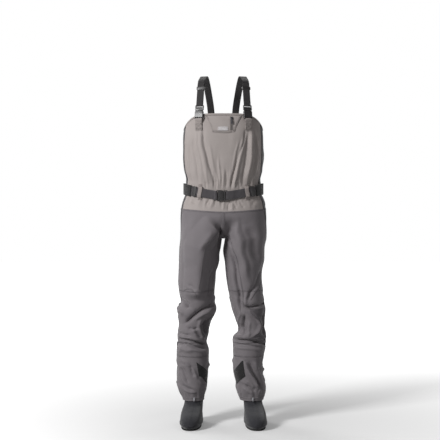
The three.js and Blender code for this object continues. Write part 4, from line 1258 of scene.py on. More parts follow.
class WornTrunk(Trunk):
    """The trunk as worn: pressed in by the belt and flat under what is sewn to it."""

    def calm(self, turn: Array, height: Array) -> Array:
        """1 where folds are free, down to 0 where something holds the cloth flat."""
        base = self.base(turn, height)
        x, z, front = base[..., 0], base[..., 2], np.cos(np.radians(turn)) > 0
        held = np.exp(-(((height - self.belt_height) / 25) ** 4)) * 0.8
        tab = np.exp(-(((np.abs(x) - 107) / 24) ** 4) - (((z - 1352) / 38) ** 4)) * 0.9
        pocket = np.exp(-((x / 74) ** 6) - (((z - 1356) / 40) ** 6)) * 0.85
        yoke = np.exp(-((x / 88) ** 6) - (((z - 1358) / 40) ** 6))
        sewn = np.where(front, np.maximum(tab, pocket), yoke)
        return (1 - held) * (1 - sewn)

    def relief(self, turn: Array, height: Array) -> Array:
        """The folds, calmed, and the slack that swells between belt and bib."""
        free = self.calm(turn, height)
        edge = smooth(0, 14, self.top_edge(turn) - height)
        slack = 2.0 * np.exp(-(((height - 1130) / 34) ** 2)) * (1 + 0.5 * np.sin(np.radians(turn) * 7))
        return super().relief(turn, height) * free * (0.35 + 0.65 * edge) + slack * free


class WornLeg(Leg):
    """A leg as worn, which takes over the trunk's folds at the waist seam."""

    def relief(self, turn: Array, height: Array) -> Array:
        """The leg's own folds, and above the crotch the trunk's."""
        turn, height = np.broadcast_arrays(np.asarray(turn, float), np.asarray(height, float))
        waist = self.trunk.waist_seam
        above = self.trunk.relief(self.side * self.trunk_turn(turn), np.maximum(height, waist))
        return super().relief(turn, height) + above * smooth(waist - 60, waist, height)


class WornGuard(Guard):
    """A guard as worn, drawn in at its elastic hem."""

    def base(self, turn: Array, height: Array) -> Array:
        """Points of the sleeve, with slack above the hem that hangs over it."""
        points = super().base(turn, height)
        height = np.asarray(height, float)
        slack = 5.0 * np.exp(-(((height - 160) / 24) ** 2)) - 1.5 * np.exp(-(((height - 112) / 12) ** 2))
        middle = self.leg.stations.at(height)
        centre = np.stack([self.leg.side * (middle[0] + self.leg.stance.at(height)[0]), middle[3],
                           height], -1)
        return points + unit(points - centre) * slack[..., None]


def worn_trunk() -> WornTrunk:
    """The trunk with all its folds."""
    trunk = WornTrunk()
    trunk.folds += [laid.on(trunk, 1.15) for laid in TRUNK_FOLDS]
    front, back = (-88, 88), (88, 272)
    scattered = (
        Gathers(1088, 95, 30, 3.4, 11, front), Gathers(1088, 120, 32, 5.0, 12, back),
        Gathers(1042, -74, 30, 3.0, 13, front), Gathers(1042, -74, 32, 5.0, 14, back),
        Zone((78, 282), (1130, 1330), 16, 78, 22, (80, 190), (14, 26), (3, 6.5), 15),
        Zone((95, 265), (1110, 1210), 9, 8, 16, (70, 150), (10, 17), (3, 5.5), 16),
        Zone((-60, 60), (1140, 1340), 6, 84, 12, (90, 160), (18, 30), (1.2, 2.4), 17),
    )
    for group in scattered:
        trunk.folds += group.folds(trunk.radius)
    return trunk


def worn_leg(side: int, trunk: Trunk) -> WornLeg:
    """One leg with all its folds."""
    leg = WornLeg(side, trunk, stance=STANCE[side])
    laid = LEFT_FOLDS if side == LEFT else RIGHT_FOLDS
    leg.folds += [fold.on(leg, 1.7) for fold in laid]
    seed = 30 if side == LEFT else 60
    zones = (
        Zone((100, 255), (430, 580), 12, 4, 16, (80, 170), (9, 15), (4, 8), seed, Crest.SHARP),
        Zone((100, 255), (330, 430), 9, -6, 18, (70, 150), (9, 15), (3, 7), seed + 1),
        Zone((110, 250), (620, 900), 10, 74, 22, (120, 260), (16, 28), (3, 6), seed + 2),
        Zone((120, 240), (800, 900), 6, 14, 14, (70, 130), (10, 16), (3, 6), seed + 3),
        Zone((-80, 80), (640, 900), 7, 82, 14, (110, 220), (16, 28), (1.5, 3), seed + 4),
        Zone((-80, 85), (325, 600), 12, 10, 50, (40, 90), (7, 12), (1.4, 3), seed + 5),
    )
    for zone in zones:
        leg.folds += zone.folds(leg.radius)
    return leg


def worn_guard(leg: Leg) -> WornGuard:
    """One gravel guard with all its folds."""
    guard = WornGuard(leg)
    laid = LEFT_GUARD_FOLDS if leg.side == LEFT else RIGHT_GUARD_FOLDS
    guard.folds += [fold.on(guard, 1.5) for fold in laid]
    seed = 90 if leg.side == LEFT else 120
    scattered = (
        Gathers(118, 62, 26, 3.6, seed),
        Zone((90, 270), (170, 290), 12, 20, 40, (50, 110), (8, 14), (3, 6), seed + 1),
        Zone((-80, 80), (160, 290), 9, 30, 60, (30, 70), (7, 11), (1.2, 2.6), seed + 2),
    )
    for group in scattered:
        guard.folds += group.folds(guard.radius)
    return guard


# ------------------------------------------------------------------------- sewn pieces

class Course:
    """A line of values against height, for a border that wanders."""

    def __init__(self, *rows: tuple) -> None:
        """Keeps rows of height and value, in rising height."""
        ordered = sorted(rows)
        self.heights = [row[0] for row in ordered]
        self.values = [row[1] for row in ordered]

    def at(self, height: Array) -> Array:
        """The value at each height."""
        return np.interp(height, self.heights, self.values)


def level(value: float) -> Course:
    """A border that keeps one value."""
    return Course((0, value), (2000, value))


@dataclass
class Panel:
    """One cut of cloth on a tube, between two turns and two heights."""

    name: str
    tube: Tube
    start: Course
    end: Course
    low: Callable
    high: Callable
    spacing: float = 4.0
    thickness: float = 1.2
    out: float = 0.0

    def grid(self) -> Array:
        """The panel's points."""
        low, high = (float(edge(np.zeros(1))[0]) for edge in (self.low, self.high))
        middle, rise = (low + high) / 2, high - low
        span = math.radians(float(self.end.at(middle) - self.start.at(middle))) * self.tube.radius
        columns = max(4, int(span / self.spacing))
        rows = max(3, int(rise / self.spacing))
        share_v = np.linspace(0, 1, rows + 1)[:, None]
        share_u = np.linspace(0, 1, columns + 1)[None, :]
        guess = self.start.at(middle) * (1 - share_u) + self.end.at(middle) * share_u
        height = self.low(guess) * (1 - share_v) + self.high(guess) * share_v
        turn = self.start.at(height) * (1 - share_u) + self.end.at(height) * share_u
        return self.tube.skin(turn, height, self.out)

    def build(self, material: bpy.types.Material) -> bpy.types.Object:
        """Cuts and thickens the panel."""
        flip = self.tube.facing() < 0
        piece = link(grid_mesh(self.name, self.grid(), flip=flip), self.name, material)
        thicken(piece, self.thickness)
        return piece


@dataclass(frozen=True)
class Even:
    """A level edge."""

    height: float

    def __call__(self, turn: Array) -> Array:
        """The same height at every turn."""
        return np.full(np.shape(turn), float(self.height))


@dataclass(frozen=True)
class Slanted:
    """An edge that looks straight from the front, from the inner seam to a turn ahead of it."""

    ahead: float
    at_edge: float
    at_seam: float

    def __call__(self, turn: Array) -> Array:
        """The height at each turn."""
        seen = 1 + np.sin(np.radians(turn))
        away = np.clip(seen / (1 + math.sin(math.radians(self.ahead))), 0, 1)
        return self.at_seam + (self.at_edge - self.at_seam) * away


def seam_tape(name: str, tube: Tube, turns: Array, heights: Array, width: float, out: float,
              material: bpy.types.Material) -> tuple:
    """A narrow felled seam that stands on the skin, and its two stitch lines.

    Args:
        name: the piece's name.
        tube: the tube that it lies on.
        turns: the turns of its middle line.
        heights: the heights of its middle line.
        width: its width.
        out: how far it stands out.
        material: its finish.

    Returns:
        The piece, and the lines that its stitches follow.
    """
    middle = tube.skin(turns, heights, 0)
    way = unit(np.gradient(middle, axis=0))
    face = tube.outward(turns, heights)
    aside = unit(np.cross(face, way))
    section = np.array([[-0.5, -0.3], [-0.46, 0.75], [-0.3, 1.0], [0.0, 1.0], [0.3, 1.0],
                        [0.46, 0.75], [0.5, -0.3], [0.0, -0.6]])
    rows = (middle[:, None] + aside[:, None] * (section[:, 0] * width)[None, :, None]
            + face[:, None] * (section[:, 1] * out)[None, :, None])
    piece = link(grid_mesh(name, rows, closed_round=True, caps=True), name, material)
    lines = [middle + aside * (width * side) + face * (out * 1.1) for side in (-0.3, 0.3)]
    return piece, lines


def along(turn_points: Sequence[float], height_points: Sequence[float], spacing: float = 3.5,
          radius: float = 90.0) -> tuple:
    """Turns and heights along a bent line, in small even steps."""
    turns, heights = np.array(turn_points, float), np.array(height_points, float)
    steps = np.hypot(np.radians(np.diff(turns)) * radius, np.diff(heights))
    run = np.concatenate([[0], np.cumsum(steps)])
    at = np.linspace(0, run[-1], max(6, int(run[-1] / spacing)))
    return np.interp(at, run, turns), np.interp(at, run, heights)


@dataclass
class Shell:
    """The cloth shell: trunk, legs, and the seams that join them."""

    finishes: Wardrobe
    trunk: Trunk
    legs: dict
    front_edges: tuple = (-76.0, 73.0)      # where the bib meets the back, in degrees
    knee_top: float = 605.0
    knee_bottom: float = 370.0
    ankle: float = 176.0
    hem: float = 9.0                        # width of the bib's turned top edge

    def build(self) -> None:
        """Makes every cloth piece of the trunk and the legs."""
        self.build_trunk()
        for side in (LEFT, RIGHT):
            self.build_leg(side)
        self.build_centre()

    def build_trunk(self) -> None:
        """The bib, the back, the turned top edge and the waist seam."""
        trunk, finishes = self.trunk, self.finishes
        right, left = self.front_edges
        bib = Panel("bib_front", trunk, level(right), level(left), Even(trunk.waist_seam),
                    trunk.top_edge).build(finishes.bib)
        dress(bib, "shell", "bib_cloth", "bib_front_panel")
        back = Panel("bib_back", trunk, level(left), level(360 + right), Even(trunk.waist_seam),
                     trunk.top_edge).build(finishes.side)
        dress(back, "shell", "back_cloth", "bib_back_panel")
        lines = []
        for name, start, end, finish, slot in (
                ("bib_top_hem", right, left, finishes.bib, "bib_cloth"),
                ("back_top_hem", left, 360 + right, finishes.side, "back_cloth")):
            turns = np.linspace(start, end, int(abs(end - start) * 0.8))
            top = trunk.top_edge(turns)
            profile = ((-self.hem, 0.1), (-self.hem + 0.6, 1.2), (-4, 1.5), (-0.8, 1.5), (0.8, 0.6),
                       (0.9, -1.2), (-0.8, -2.4), (-self.hem, -2.4))
            rows = np.stack([trunk.skin(turns, top + rise, out) for rise, out in profile], 1)
            mesh = grid_mesh(name, rows, closed_round=True, caps=True, flip=True)
            dress(link(mesh, name, finish), "shell", slot)
            lines.append(trunk.skin(turns, top - self.hem + 2.0, 1.6))
        for name, turn in (("side_seam_left", left), ("side_seam_right", right)):
            top = float(trunk.top_edge(np.array(turn))) - 8
            turns, heights = along((turn, turn), (trunk.waist_seam, top))
            tape, sewn = seam_tape(name, trunk, turns, heights, 7, 0.9, finishes.side)
            dress(tape, "shell", "back_cloth")
            lines += sewn
        for part, start, end, finish, slot in (
                ("front", right, left, finishes.leg, "leg_cloth"),
                ("back", left, 360 + right, finishes.side, "back_cloth")):
            turns = np.linspace(start, end, 150)
            tape, sewn = seam_tape(f"waist_seam_{part}", trunk, turns,
                                   np.full(150, trunk.waist_seam + 1.0), 7, 0.9, finish)
            dress(tape, "shell", slot)
            lines += sewn
        sew_on("trunk_stitches", lines, finishes.thread, "bib_cloth")

    def outer_edge(self, side: int) -> Course:
        """Turns of the seam between a leg's front and back on its outer side."""
        edge = self.front_edges[1] if side == LEFT else -self.front_edges[0]
        at_waist = edge * 2 - 90
        return Course((176, 84), (600, 84), (720, 82), (830, 76), (900, (at_waist + 76) / 2),
                      (self.trunk.waist_seam, at_waist), (1200, at_waist))

    def wing(self, side: int) -> tuple:
        """The side gusset at the knee, darker partly as painted shade: its front border, its far turn and
        its heights.
        """
        leg = self.legs[side]
        if side == LEFT:
            border = ((527, 116), (505, 122), (470, 158), (446, 169), (422, 158), (391, 118), (382, 108))
            far = 88.0
        else:
            border = ((497, -42), (482, -62), (458, -92), (442, -105), (425, -101), (400, -90),
                      (374, -76))
            far = -92.0
        rows = [(z, leg.turn_at(x, z)[0]) for z, x in border]
        return Course(*rows), far, border[-1][0], border[0][0]

    def build_leg(self, side: int) -> None:
        """One leg's panels, knee gusset and seams."""
        leg, finishes, hand = self.legs[side], self.finishes, SIDE_NAME[side]
        outer, inner = self.outer_edge(side), level(-90)
        behind = level(270)
        waist = self.trunk.waist_seam
        cuts = (
            ("thigh_front", inner, outer, self.knee_top, waist, finishes.leg, "leg_cloth"),
            ("knee_panel", inner, outer, self.knee_bottom, self.knee_top, finishes.leg, "leg_cloth"),
            ("shin_front", inner, outer, self.ankle, self.knee_bottom, finishes.leg, "leg_cloth"),
            ("thigh_back", outer, behind, self.knee_top, waist, finishes.side, "back_cloth"),
            ("calf_back", outer, behind, self.ankle, self.knee_top, finishes.side, "back_cloth"),
        )
        for cut, start, end, low, high, finish, slot in cuts:
            name = f"{cut}_{hand}"
            piece = Panel("leg_" + name, leg, start, end, Even(low), Even(high), 3.6).build(finish)
            dress(piece, "shell", slot, name)
        border, far, low, high = self.wing(side)
        start, end = (border, level(far)) if side == LEFT else (level(far), border)
        # A darker sheet over the knee's far side: a gusset shape, its colour partly painted shade.
        gusset_painted_shade = Panel(f"knee_gusset_painted_shade_{hand}", leg, start, end, Even(low), Even(high), 3.0, 0.8, 0.7)
        dress(gusset_painted_shade.build(finishes.gusset_painted_shade), "shell", "back_cloth")
        heights = np.linspace(low, high, 50)
        rim = leg.skin(border.at(heights), heights, 1.0)
        lines = [rim]
        for name, turn_points, height_points, finish, width in self.seams(side, outer):
            turns, path = along(turn_points, height_points)
            tape, sewn = seam_tape(f"{name}_{hand}", leg, turns, path, width, 0.8, finish)
            dress(tape, "shell", "leg_cloth")
            lines += sewn
        sew_on(f"leg_stitches_{hand}", lines, finishes.dark_thread, "leg_cloth")

    def seams(self, side: int, outer: Course) -> list:
        """The leg's seams: name, turns, heights, finish and width of each."""
        leg, finish = self.legs[side], self.finishes
        heights = np.linspace(self.guard_line(), self.trunk.waist_seam - 4, 40)
        made = [
            ("outer_seam", outer.at(heights), heights, finish.side, 6),
            ("inner_seam", np.full(2, -90.0), np.array([self.guard_line(), 836.0]), finish.side, 6),
            ("knee_top_seam", np.linspace(-90, outer.at(605), 20), np.full(20, self.knee_top),
             finish.leg, 5),
            ("knee_bottom_seam", np.linspace(-90, outer.at(370), 20), np.full(20, self.knee_bottom),
             finish.leg, 5),
        ]
        if side == LEFT:
            front = ((28, 854), (42, 810), (56, 768), (67, 712), (77, 661), (86, 600), (90, 533))
            dart = ((122, 567), (142, 598), (163, 626), (173, 661))
        else:
            front = ((-40, 900), (-84, 812), (-97, 740), (-104, 680), (-112, 620))
            dart = ((-172, 609), (-156, 618), (-141, 616), (-128, 606), (-121, 594), (-126, 578))
        for name, points in (("front_seam", front), ("knee_dart", dart)):
            placed = [leg.turn_at(x, z) for x, z in points]
            made.append((name, [p[0] for p in placed], [p[1] for p in placed], finish.leg, 4))
        return made

    def guard_line(self) -> float:
        """Height of the seam between the leg and its guard."""
        return 312.0

    def build_centre(self) -> None:
        """The gusset seam that runs between the legs from the front to the back."""
        left = self.legs[LEFT]
        rise = self.trunk.waist_seam - 3 - left.crotch
        share = np.linspace(1, 0, 60)
        heights = left.crotch + rise * share * share
        front = left.skin(np.full(60, -89.9), heights, 0)
        back = left.skin(np.full(60, 269.9), heights[::-1], 0)
        path = np.vstack([front, back[1:]])
        path[:, 0] = 0
        path = smooth_path(path, 4.0)
        mesh = ribbon_mesh("centre_seam", path, np.array([1.0, 0, 0]), 11, 2.4, 0.8)
        dress(link(mesh, "centre_seam", self.finishes.leg), "shell", "leg_cloth", "crotch_gusset")
        outward = unit(np.cross(np.array([1.0, 0, 0]), unit(np.gradient(path, axis=0))))
        lines = [path - outward * 2.4 + np.array([shift, 0, 0]) for shift in (-3.5, 3.5)]
        sew_on("centre_stitches", lines, self.finishes.dark_thread, "leg_cloth")


@dataclass
class GravelGuard:
    """One guard: its sleeve, hem, kick patch and lace hook."""

    finishes: Wardrobe
    guard: Guard
    hem_band: float = 16.0
    thickness: float = 1.4

    def build(self) -> None:
        """Makes the guard's pieces."""
        guard, finishes = self.guard, self.finishes
        hand = SIDE_NAME[guard.leg.side]
        low, high = Even(guard.hem), Even(guard.top)
        front = Panel(f"guard_sleeve_front_{hand}", guard, level(-90), level(82), low, high, 2.8,
                      self.thickness).build(finishes.leg)
        dress(front, "shell", "leg_cloth", f"guard_front_{hand}")
        back = Panel(f"guard_sleeve_back_{hand}", guard, level(82), level(270), low, high, 2.8,
                     self.thickness).build(finishes.side)
        dress(back, "shell", "back_cloth", f"guard_back_{hand}")
        band = Panel(f"hem_band_{hand}", guard, level(-90), level(270), Even(guard.hem - 1),
                     Even(guard.hem + self.hem_band), 2.8, 1.0, 1.3).build(finishes.leg)
        dress(band, "shell", "leg_cloth", f"guard_hem_{hand}")
        self.build_patch(hand)
        lines = []
        for name, turn in (("guard_seam_outer", 82.0), ("guard_seam_inner", -90.0)):
            turns, heights = along((turn, turn), (guard.hem + self.hem_band, guard.top - 2))
            tape, sewn = seam_tape(f"{name}_{hand}", guard, turns, heights, 5, 0.8, finishes.side)
            dress(tape, "shell", "back_cloth")
            lines += sewn
        for part, start, end, finish, slot in (("front", -90, 82, finishes.leg, "leg_cloth"),
                                               ("back", 82, 270, finishes.side, "back_cloth")):
            turns = np.linspace(start, end, 80)
            tape, sewn = seam_tape(f"guard_top_seam_{part}_{hand}", guard, turns,
                                   np.full(80, guard.top - 1), 5, 0.5, finish)
            dress(tape, "shell", slot)
            lines += sewn
        turns = np.linspace(-90, 270, 160)
        lines.append(guard.skin(turns, np.full(160, guard.hem + self.hem_band - 2.5), 2.0))
        sew_on(f"guard_stitches_{hand}", lines, finishes.dark_thread, "leg_cloth")
        hook = f"lace_hook_{hand}"
        mould(hook, f"hook_{hand}", finishes.steel, 0.25, hook, "hook_steel")

    def build_patch(self, hand: str) -> None:
        """The chevron-shaped abrasion patch on the inner side."""
        guard = self.guard
        corners = {LEFT: ((89, 291), (98, 225), (68, 186)),
                   RIGHT: ((-123, 291), (-111, 219), (-80, 186))}
        top, waist, foot = corners[guard.leg.side]
        front_top, front_low = guard.turn_at(*top)[0], guard.turn_at(*waist)[0]
        inner = -90.0

        reach = front_top - inner
        drop = 62.0
        low = Slanted(front_low, waist[1], foot[1] - 10)
        high = Slanted(front_top, top[1], top[1] - drop)
        start = level(inner - reach)
        end = Course((waist[1], front_low), (top[1], front_top))
        patch_piece = Panel(f"kick_patch_cloth_{hand}", guard, start, end, low, high, 2.8, 1.0, 1.6)
        piece = patch_piece.build(self.finishes.kick)
        dress(piece, "shell", "kick_cloth", f"kick_patch_{hand}")


@dataclass
class StockingFoot:
    """One neoprene sock with its taped seams and its sole."""

    finishes: Wardrobe
    side: int
    foot_out: float = 139.0
    ankle_in: float = 8.0
    squareness: float = 0.88
    turn: float = 3.0
    sole: float = 4.0
    rim: float = 1.2
    stations: Stations = field(default_factory=lambda: Stations([
        [4.5, -62, 43, 127], [20, -63, 49, 138], [40, -60, 49, 136], [58, -46, 47, 120],
        [73, -24, 45, 96], [88, -4, 43, 74], [112, 9, 42, 56], [150, 13, 44, 53], [187, 15, 47, 56]]))

    def outline(self, angle: Array, height: Array, grow: Array) -> Array:
        """Points of the sock's outline at a height; an angle of 0 is the toe."""
        behind, half_width, half_length = self.stations.at(height)
        x = (half_width + grow) * power_curve(np.sin(angle), self.squareness)
        y = behind - (half_length + grow) * power_curve(np.cos(angle), self.squareness)
        low = 1 - smooth(50, 100, height)
        x = x * (1 + 0.1 * low * np.cos(angle)) - self.ankle_in * smooth(40, 150, height)
        a = math.radians(self.turn)
        placed_x = x * math.cos(a) - y * math.sin(a) + self.foot_out
        placed_y = x * math.sin(a) + y * math.cos(a)
        return np.stack([self.side * placed_x, placed_y, np.broadcast_to(height, np.shape(x))], -1)

    def creases(self, angle: Array, height: Array) -> Array:
        """How far the foam's creases at the ankle stand in or out."""
        ahead = np.exp(-((((angle + math.pi) % (2 * math.pi) - math.pi) / 0.9) ** 2))
        behind = np.exp(-((((angle) % (2 * math.pi) - math.pi) / 0.7) ** 2))
        front = -3.0 * np.exp(-(((height - 92 - 5 * np.sin(angle * 2)) / 6) ** 2))
        front += 2.0 * np.exp(-(((height - 106) / 8) ** 2)) - 2.0 * np.exp(-(((height - 120) / 5) ** 2))
        heel = -2.2 * np.exp(-(((height - 74) / 6) ** 2)) - 1.8 * np.exp(-(((height - 98) / 6) ** 2))
        return front * ahead + heel * behind + 0.5 * np.sin(angle * 5 + height / 9)

    def build(self) -> None:
        """Makes the sock, its tapes and its sole."""
        hand, finishes = SIDE_NAME[self.side], self.finishes
        angle = np.linspace(0, 2 * math.pi, 120, endpoint=False)
        heights = np.concatenate([np.linspace(4.6, 20, 8)[:-1], np.linspace(20, 186, 58)])
        grid_angle, grid_height = np.meshgrid(angle, heights)
        toe = 1 - smooth(4.6, 15, grid_height)
        grow = -0.3 - 5.0 * toe ** 2 + self.creases(grid_angle, grid_height)
        skin = self.outline(grid_angle, grid_height, grow)
        floor = [self.outline(angle, np.full_like(angle, 4.5), np.full_like(angle, -6.0))]
        for share in (0.6, 0.25):
            middle = floor[0].mean(axis=0)
            floor.insert(0, middle + (floor[-1] - middle) * share)
        points = np.concatenate([np.stack(floor), skin])
        mesh = grid_mesh(f"sock_{hand}", points, closed_round=True, flip=self.side > 0)
        centre = points[0].mean(axis=0)
        shape = bmesh.new()
        shape.from_mesh(mesh)
        hub = shape.verts.new(to_frame(centre[None])[0])
        shape.verts.ensure_lookup_table()
        for k in range(len(angle)):
            a, b = shape.verts[k], shape.verts[(k + 1) % len(angle)]
            shape.faces.new((hub, b, a) if self.side > 0 else (hub, a, b)).smooth = True
        bmesh.ops.recalc_face_normals(shape, faces=shape.faces)
        shape.to_mesh(mesh)
        shape.free()
        sock = link(mesh, f"sock_{hand}", finishes.neoprene)
        thicken(sock, 3.5)
        dress(sock, "shell", "neoprene", f"stocking_foot_{hand}")
        self.build_tapes(hand)
        self.build_sole(hand)

    def build_tapes(self, hand: str) -> None:
        """The glued tape over the instep and round the foot above the sole."""
        heights = np.concatenate([np.linspace(26, 90, 30), np.linspace(92, 182, 30)])
        zero = np.zeros_like(heights)
        path = self.outline(zero, heights, zero + 0.2 + self.creases(zero, heights))
        ring = np.linspace(0, 2 * math.pi, 121)
        height = np.full_like(ring, 24.0)
        round_path = self.outline(ring, height, 0.2 + self.creases(ring, height))
        across = np.array([float(self.side), 0, 0])
        instep = ribbon_mesh(f"instep_tape_{hand}", path, across, 11, 1.2, 0.3)
        dress(link(instep, f"instep_tape_{hand}", self.finishes.neoprene), "shell", "neoprene")
        edge = ribbon_mesh(f"foot_tape_{hand}", round_path, np.array([0, 0, 1.0]), 10, 1.2, 0.3)
        dress(link(edge, f"foot_tape_{hand}", self.finishes.neoprene), "shell", "neoprene")

    def build_sole(self, hand: str) -> None:
        """The sole, with a rounded rim."""
        angle = np.linspace(0, 2 * math.pi, 160, endpoint=False)
        base = np.full_like(angle, 4.5)
        rows = []
        for rise, grow in ((0.0, -30.0), (0.0, -6.0), (0.0, -0.6), (0.6, 0.4), (1.6, self.rim),
                           (3.2, self.rim), (4.2, 0.6), (4.4, -1.0), (4.4, -8.0)):
            ring = self.outline(angle, base, np.full_like(angle, grow))
            ring[:, 2] = rise
            rows.append(ring)
        name = f"sole_{hand}"
        mesh = grid_mesh(name, np.stack(rows), closed_round=True, caps=True, flip=self.side > 0)
        face_outwards(mesh)
        dress(link(mesh, name, self.finishes.sole), "shell", "sole_rubber", "foot_" + name)


# ------------------------------------------------------------------------- straps and belt

class Place:
    """A frame on the garment: an origin and three directions, in millimetres."""

    def __init__(self, origin: Array, x: Array, y: Array, z: Array) -> None:
        """Keeps the frame."""
        self.origin, self.x, self.y, self.z = (np.asarray(v, float) for v in (origin, x, y, z))

    def at(self, across: Array, along_it: Array, out: Array) -> Array:
        """A point given in this frame."""
        across, along_it, out = (np.asarray(v, float)[..., None] for v in (across, along_it, out))
        return self.origin + self.x * across + self.y * along_it + self.z * out


def trunk_face(trunk: Trunk, x: float, height: float, facing: int) -> Array:
    """The plain trunk's face at a distance from the centre line; facing 1 is the front."""
    half_width, front, back = (float(v) for v in trunk.stations.at(np.array(height)))
    depth = (1 - abs(x / half_width) ** trunk.squareness) ** (1 / trunk.squareness)
    y = -front * depth if facing > 0 else back * depth
    droop = trunk.droop(np.array(math.degrees(math.atan2(x, -y))), np.array(height))
    return np.array([x, y, height - float(droop)])


def face_place(trunk: Trunk, x: float, height: float, out: float, facing: int = 1) -> Place:
    """The frame on the trunk's face, with Z out of the cloth and Y up along it."""
    up = unit(trunk_face(trunk, x, height + 5, facing) - trunk_face(trunk, x, height - 5, facing))
    side = unit(trunk_face(trunk, x + facing * 5, height, facing)
                - trunk_face(trunk, x - facing * 5, height, facing))
    z = unit(np.cross(side, up))
    return Place(trunk_face(trunk, x, height, facing) + z * out, unit(np.cross(up, z)), up, z)


def face_point(trunk: Trunk, x: float, height: float, out: float, facing: int = 1) -> Array:
    """A point off the trunk's face."""
    return face_place(trunk, x, height, out, facing).origin


@dataclass(frozen=True)
class Buckle:
    """A side-release buckle's sizes; its pull-out direction is +Y and its outside is +Z."""

    width: float
    web: float
    housing: float
    stem: float
    bar: float
    inset: float = 3.0
    fit: float = 0.4

    def wrap(self, place: Place, bar_at: float, layer: float, web: float, inwards: int) -> list:
        """Webbing up to a bar on one side, round it and back on the other."""
        edge = bar_at + inwards * (self.bar / 2 + self.fit + web / 2)
        start = bar_at - inwards * (self.inset + 1)
        steps = ((start, layer), (edge - inwards * 2, layer), (edge - inwards * 0.5, layer * 0.72),
                 (edge, 0), (edge - inwards * 0.5, -layer * 0.72), (edge - inwards * 2, -layer),
                 (start, -layer))
        return [place.at(0, y, z) for y, z in steps]


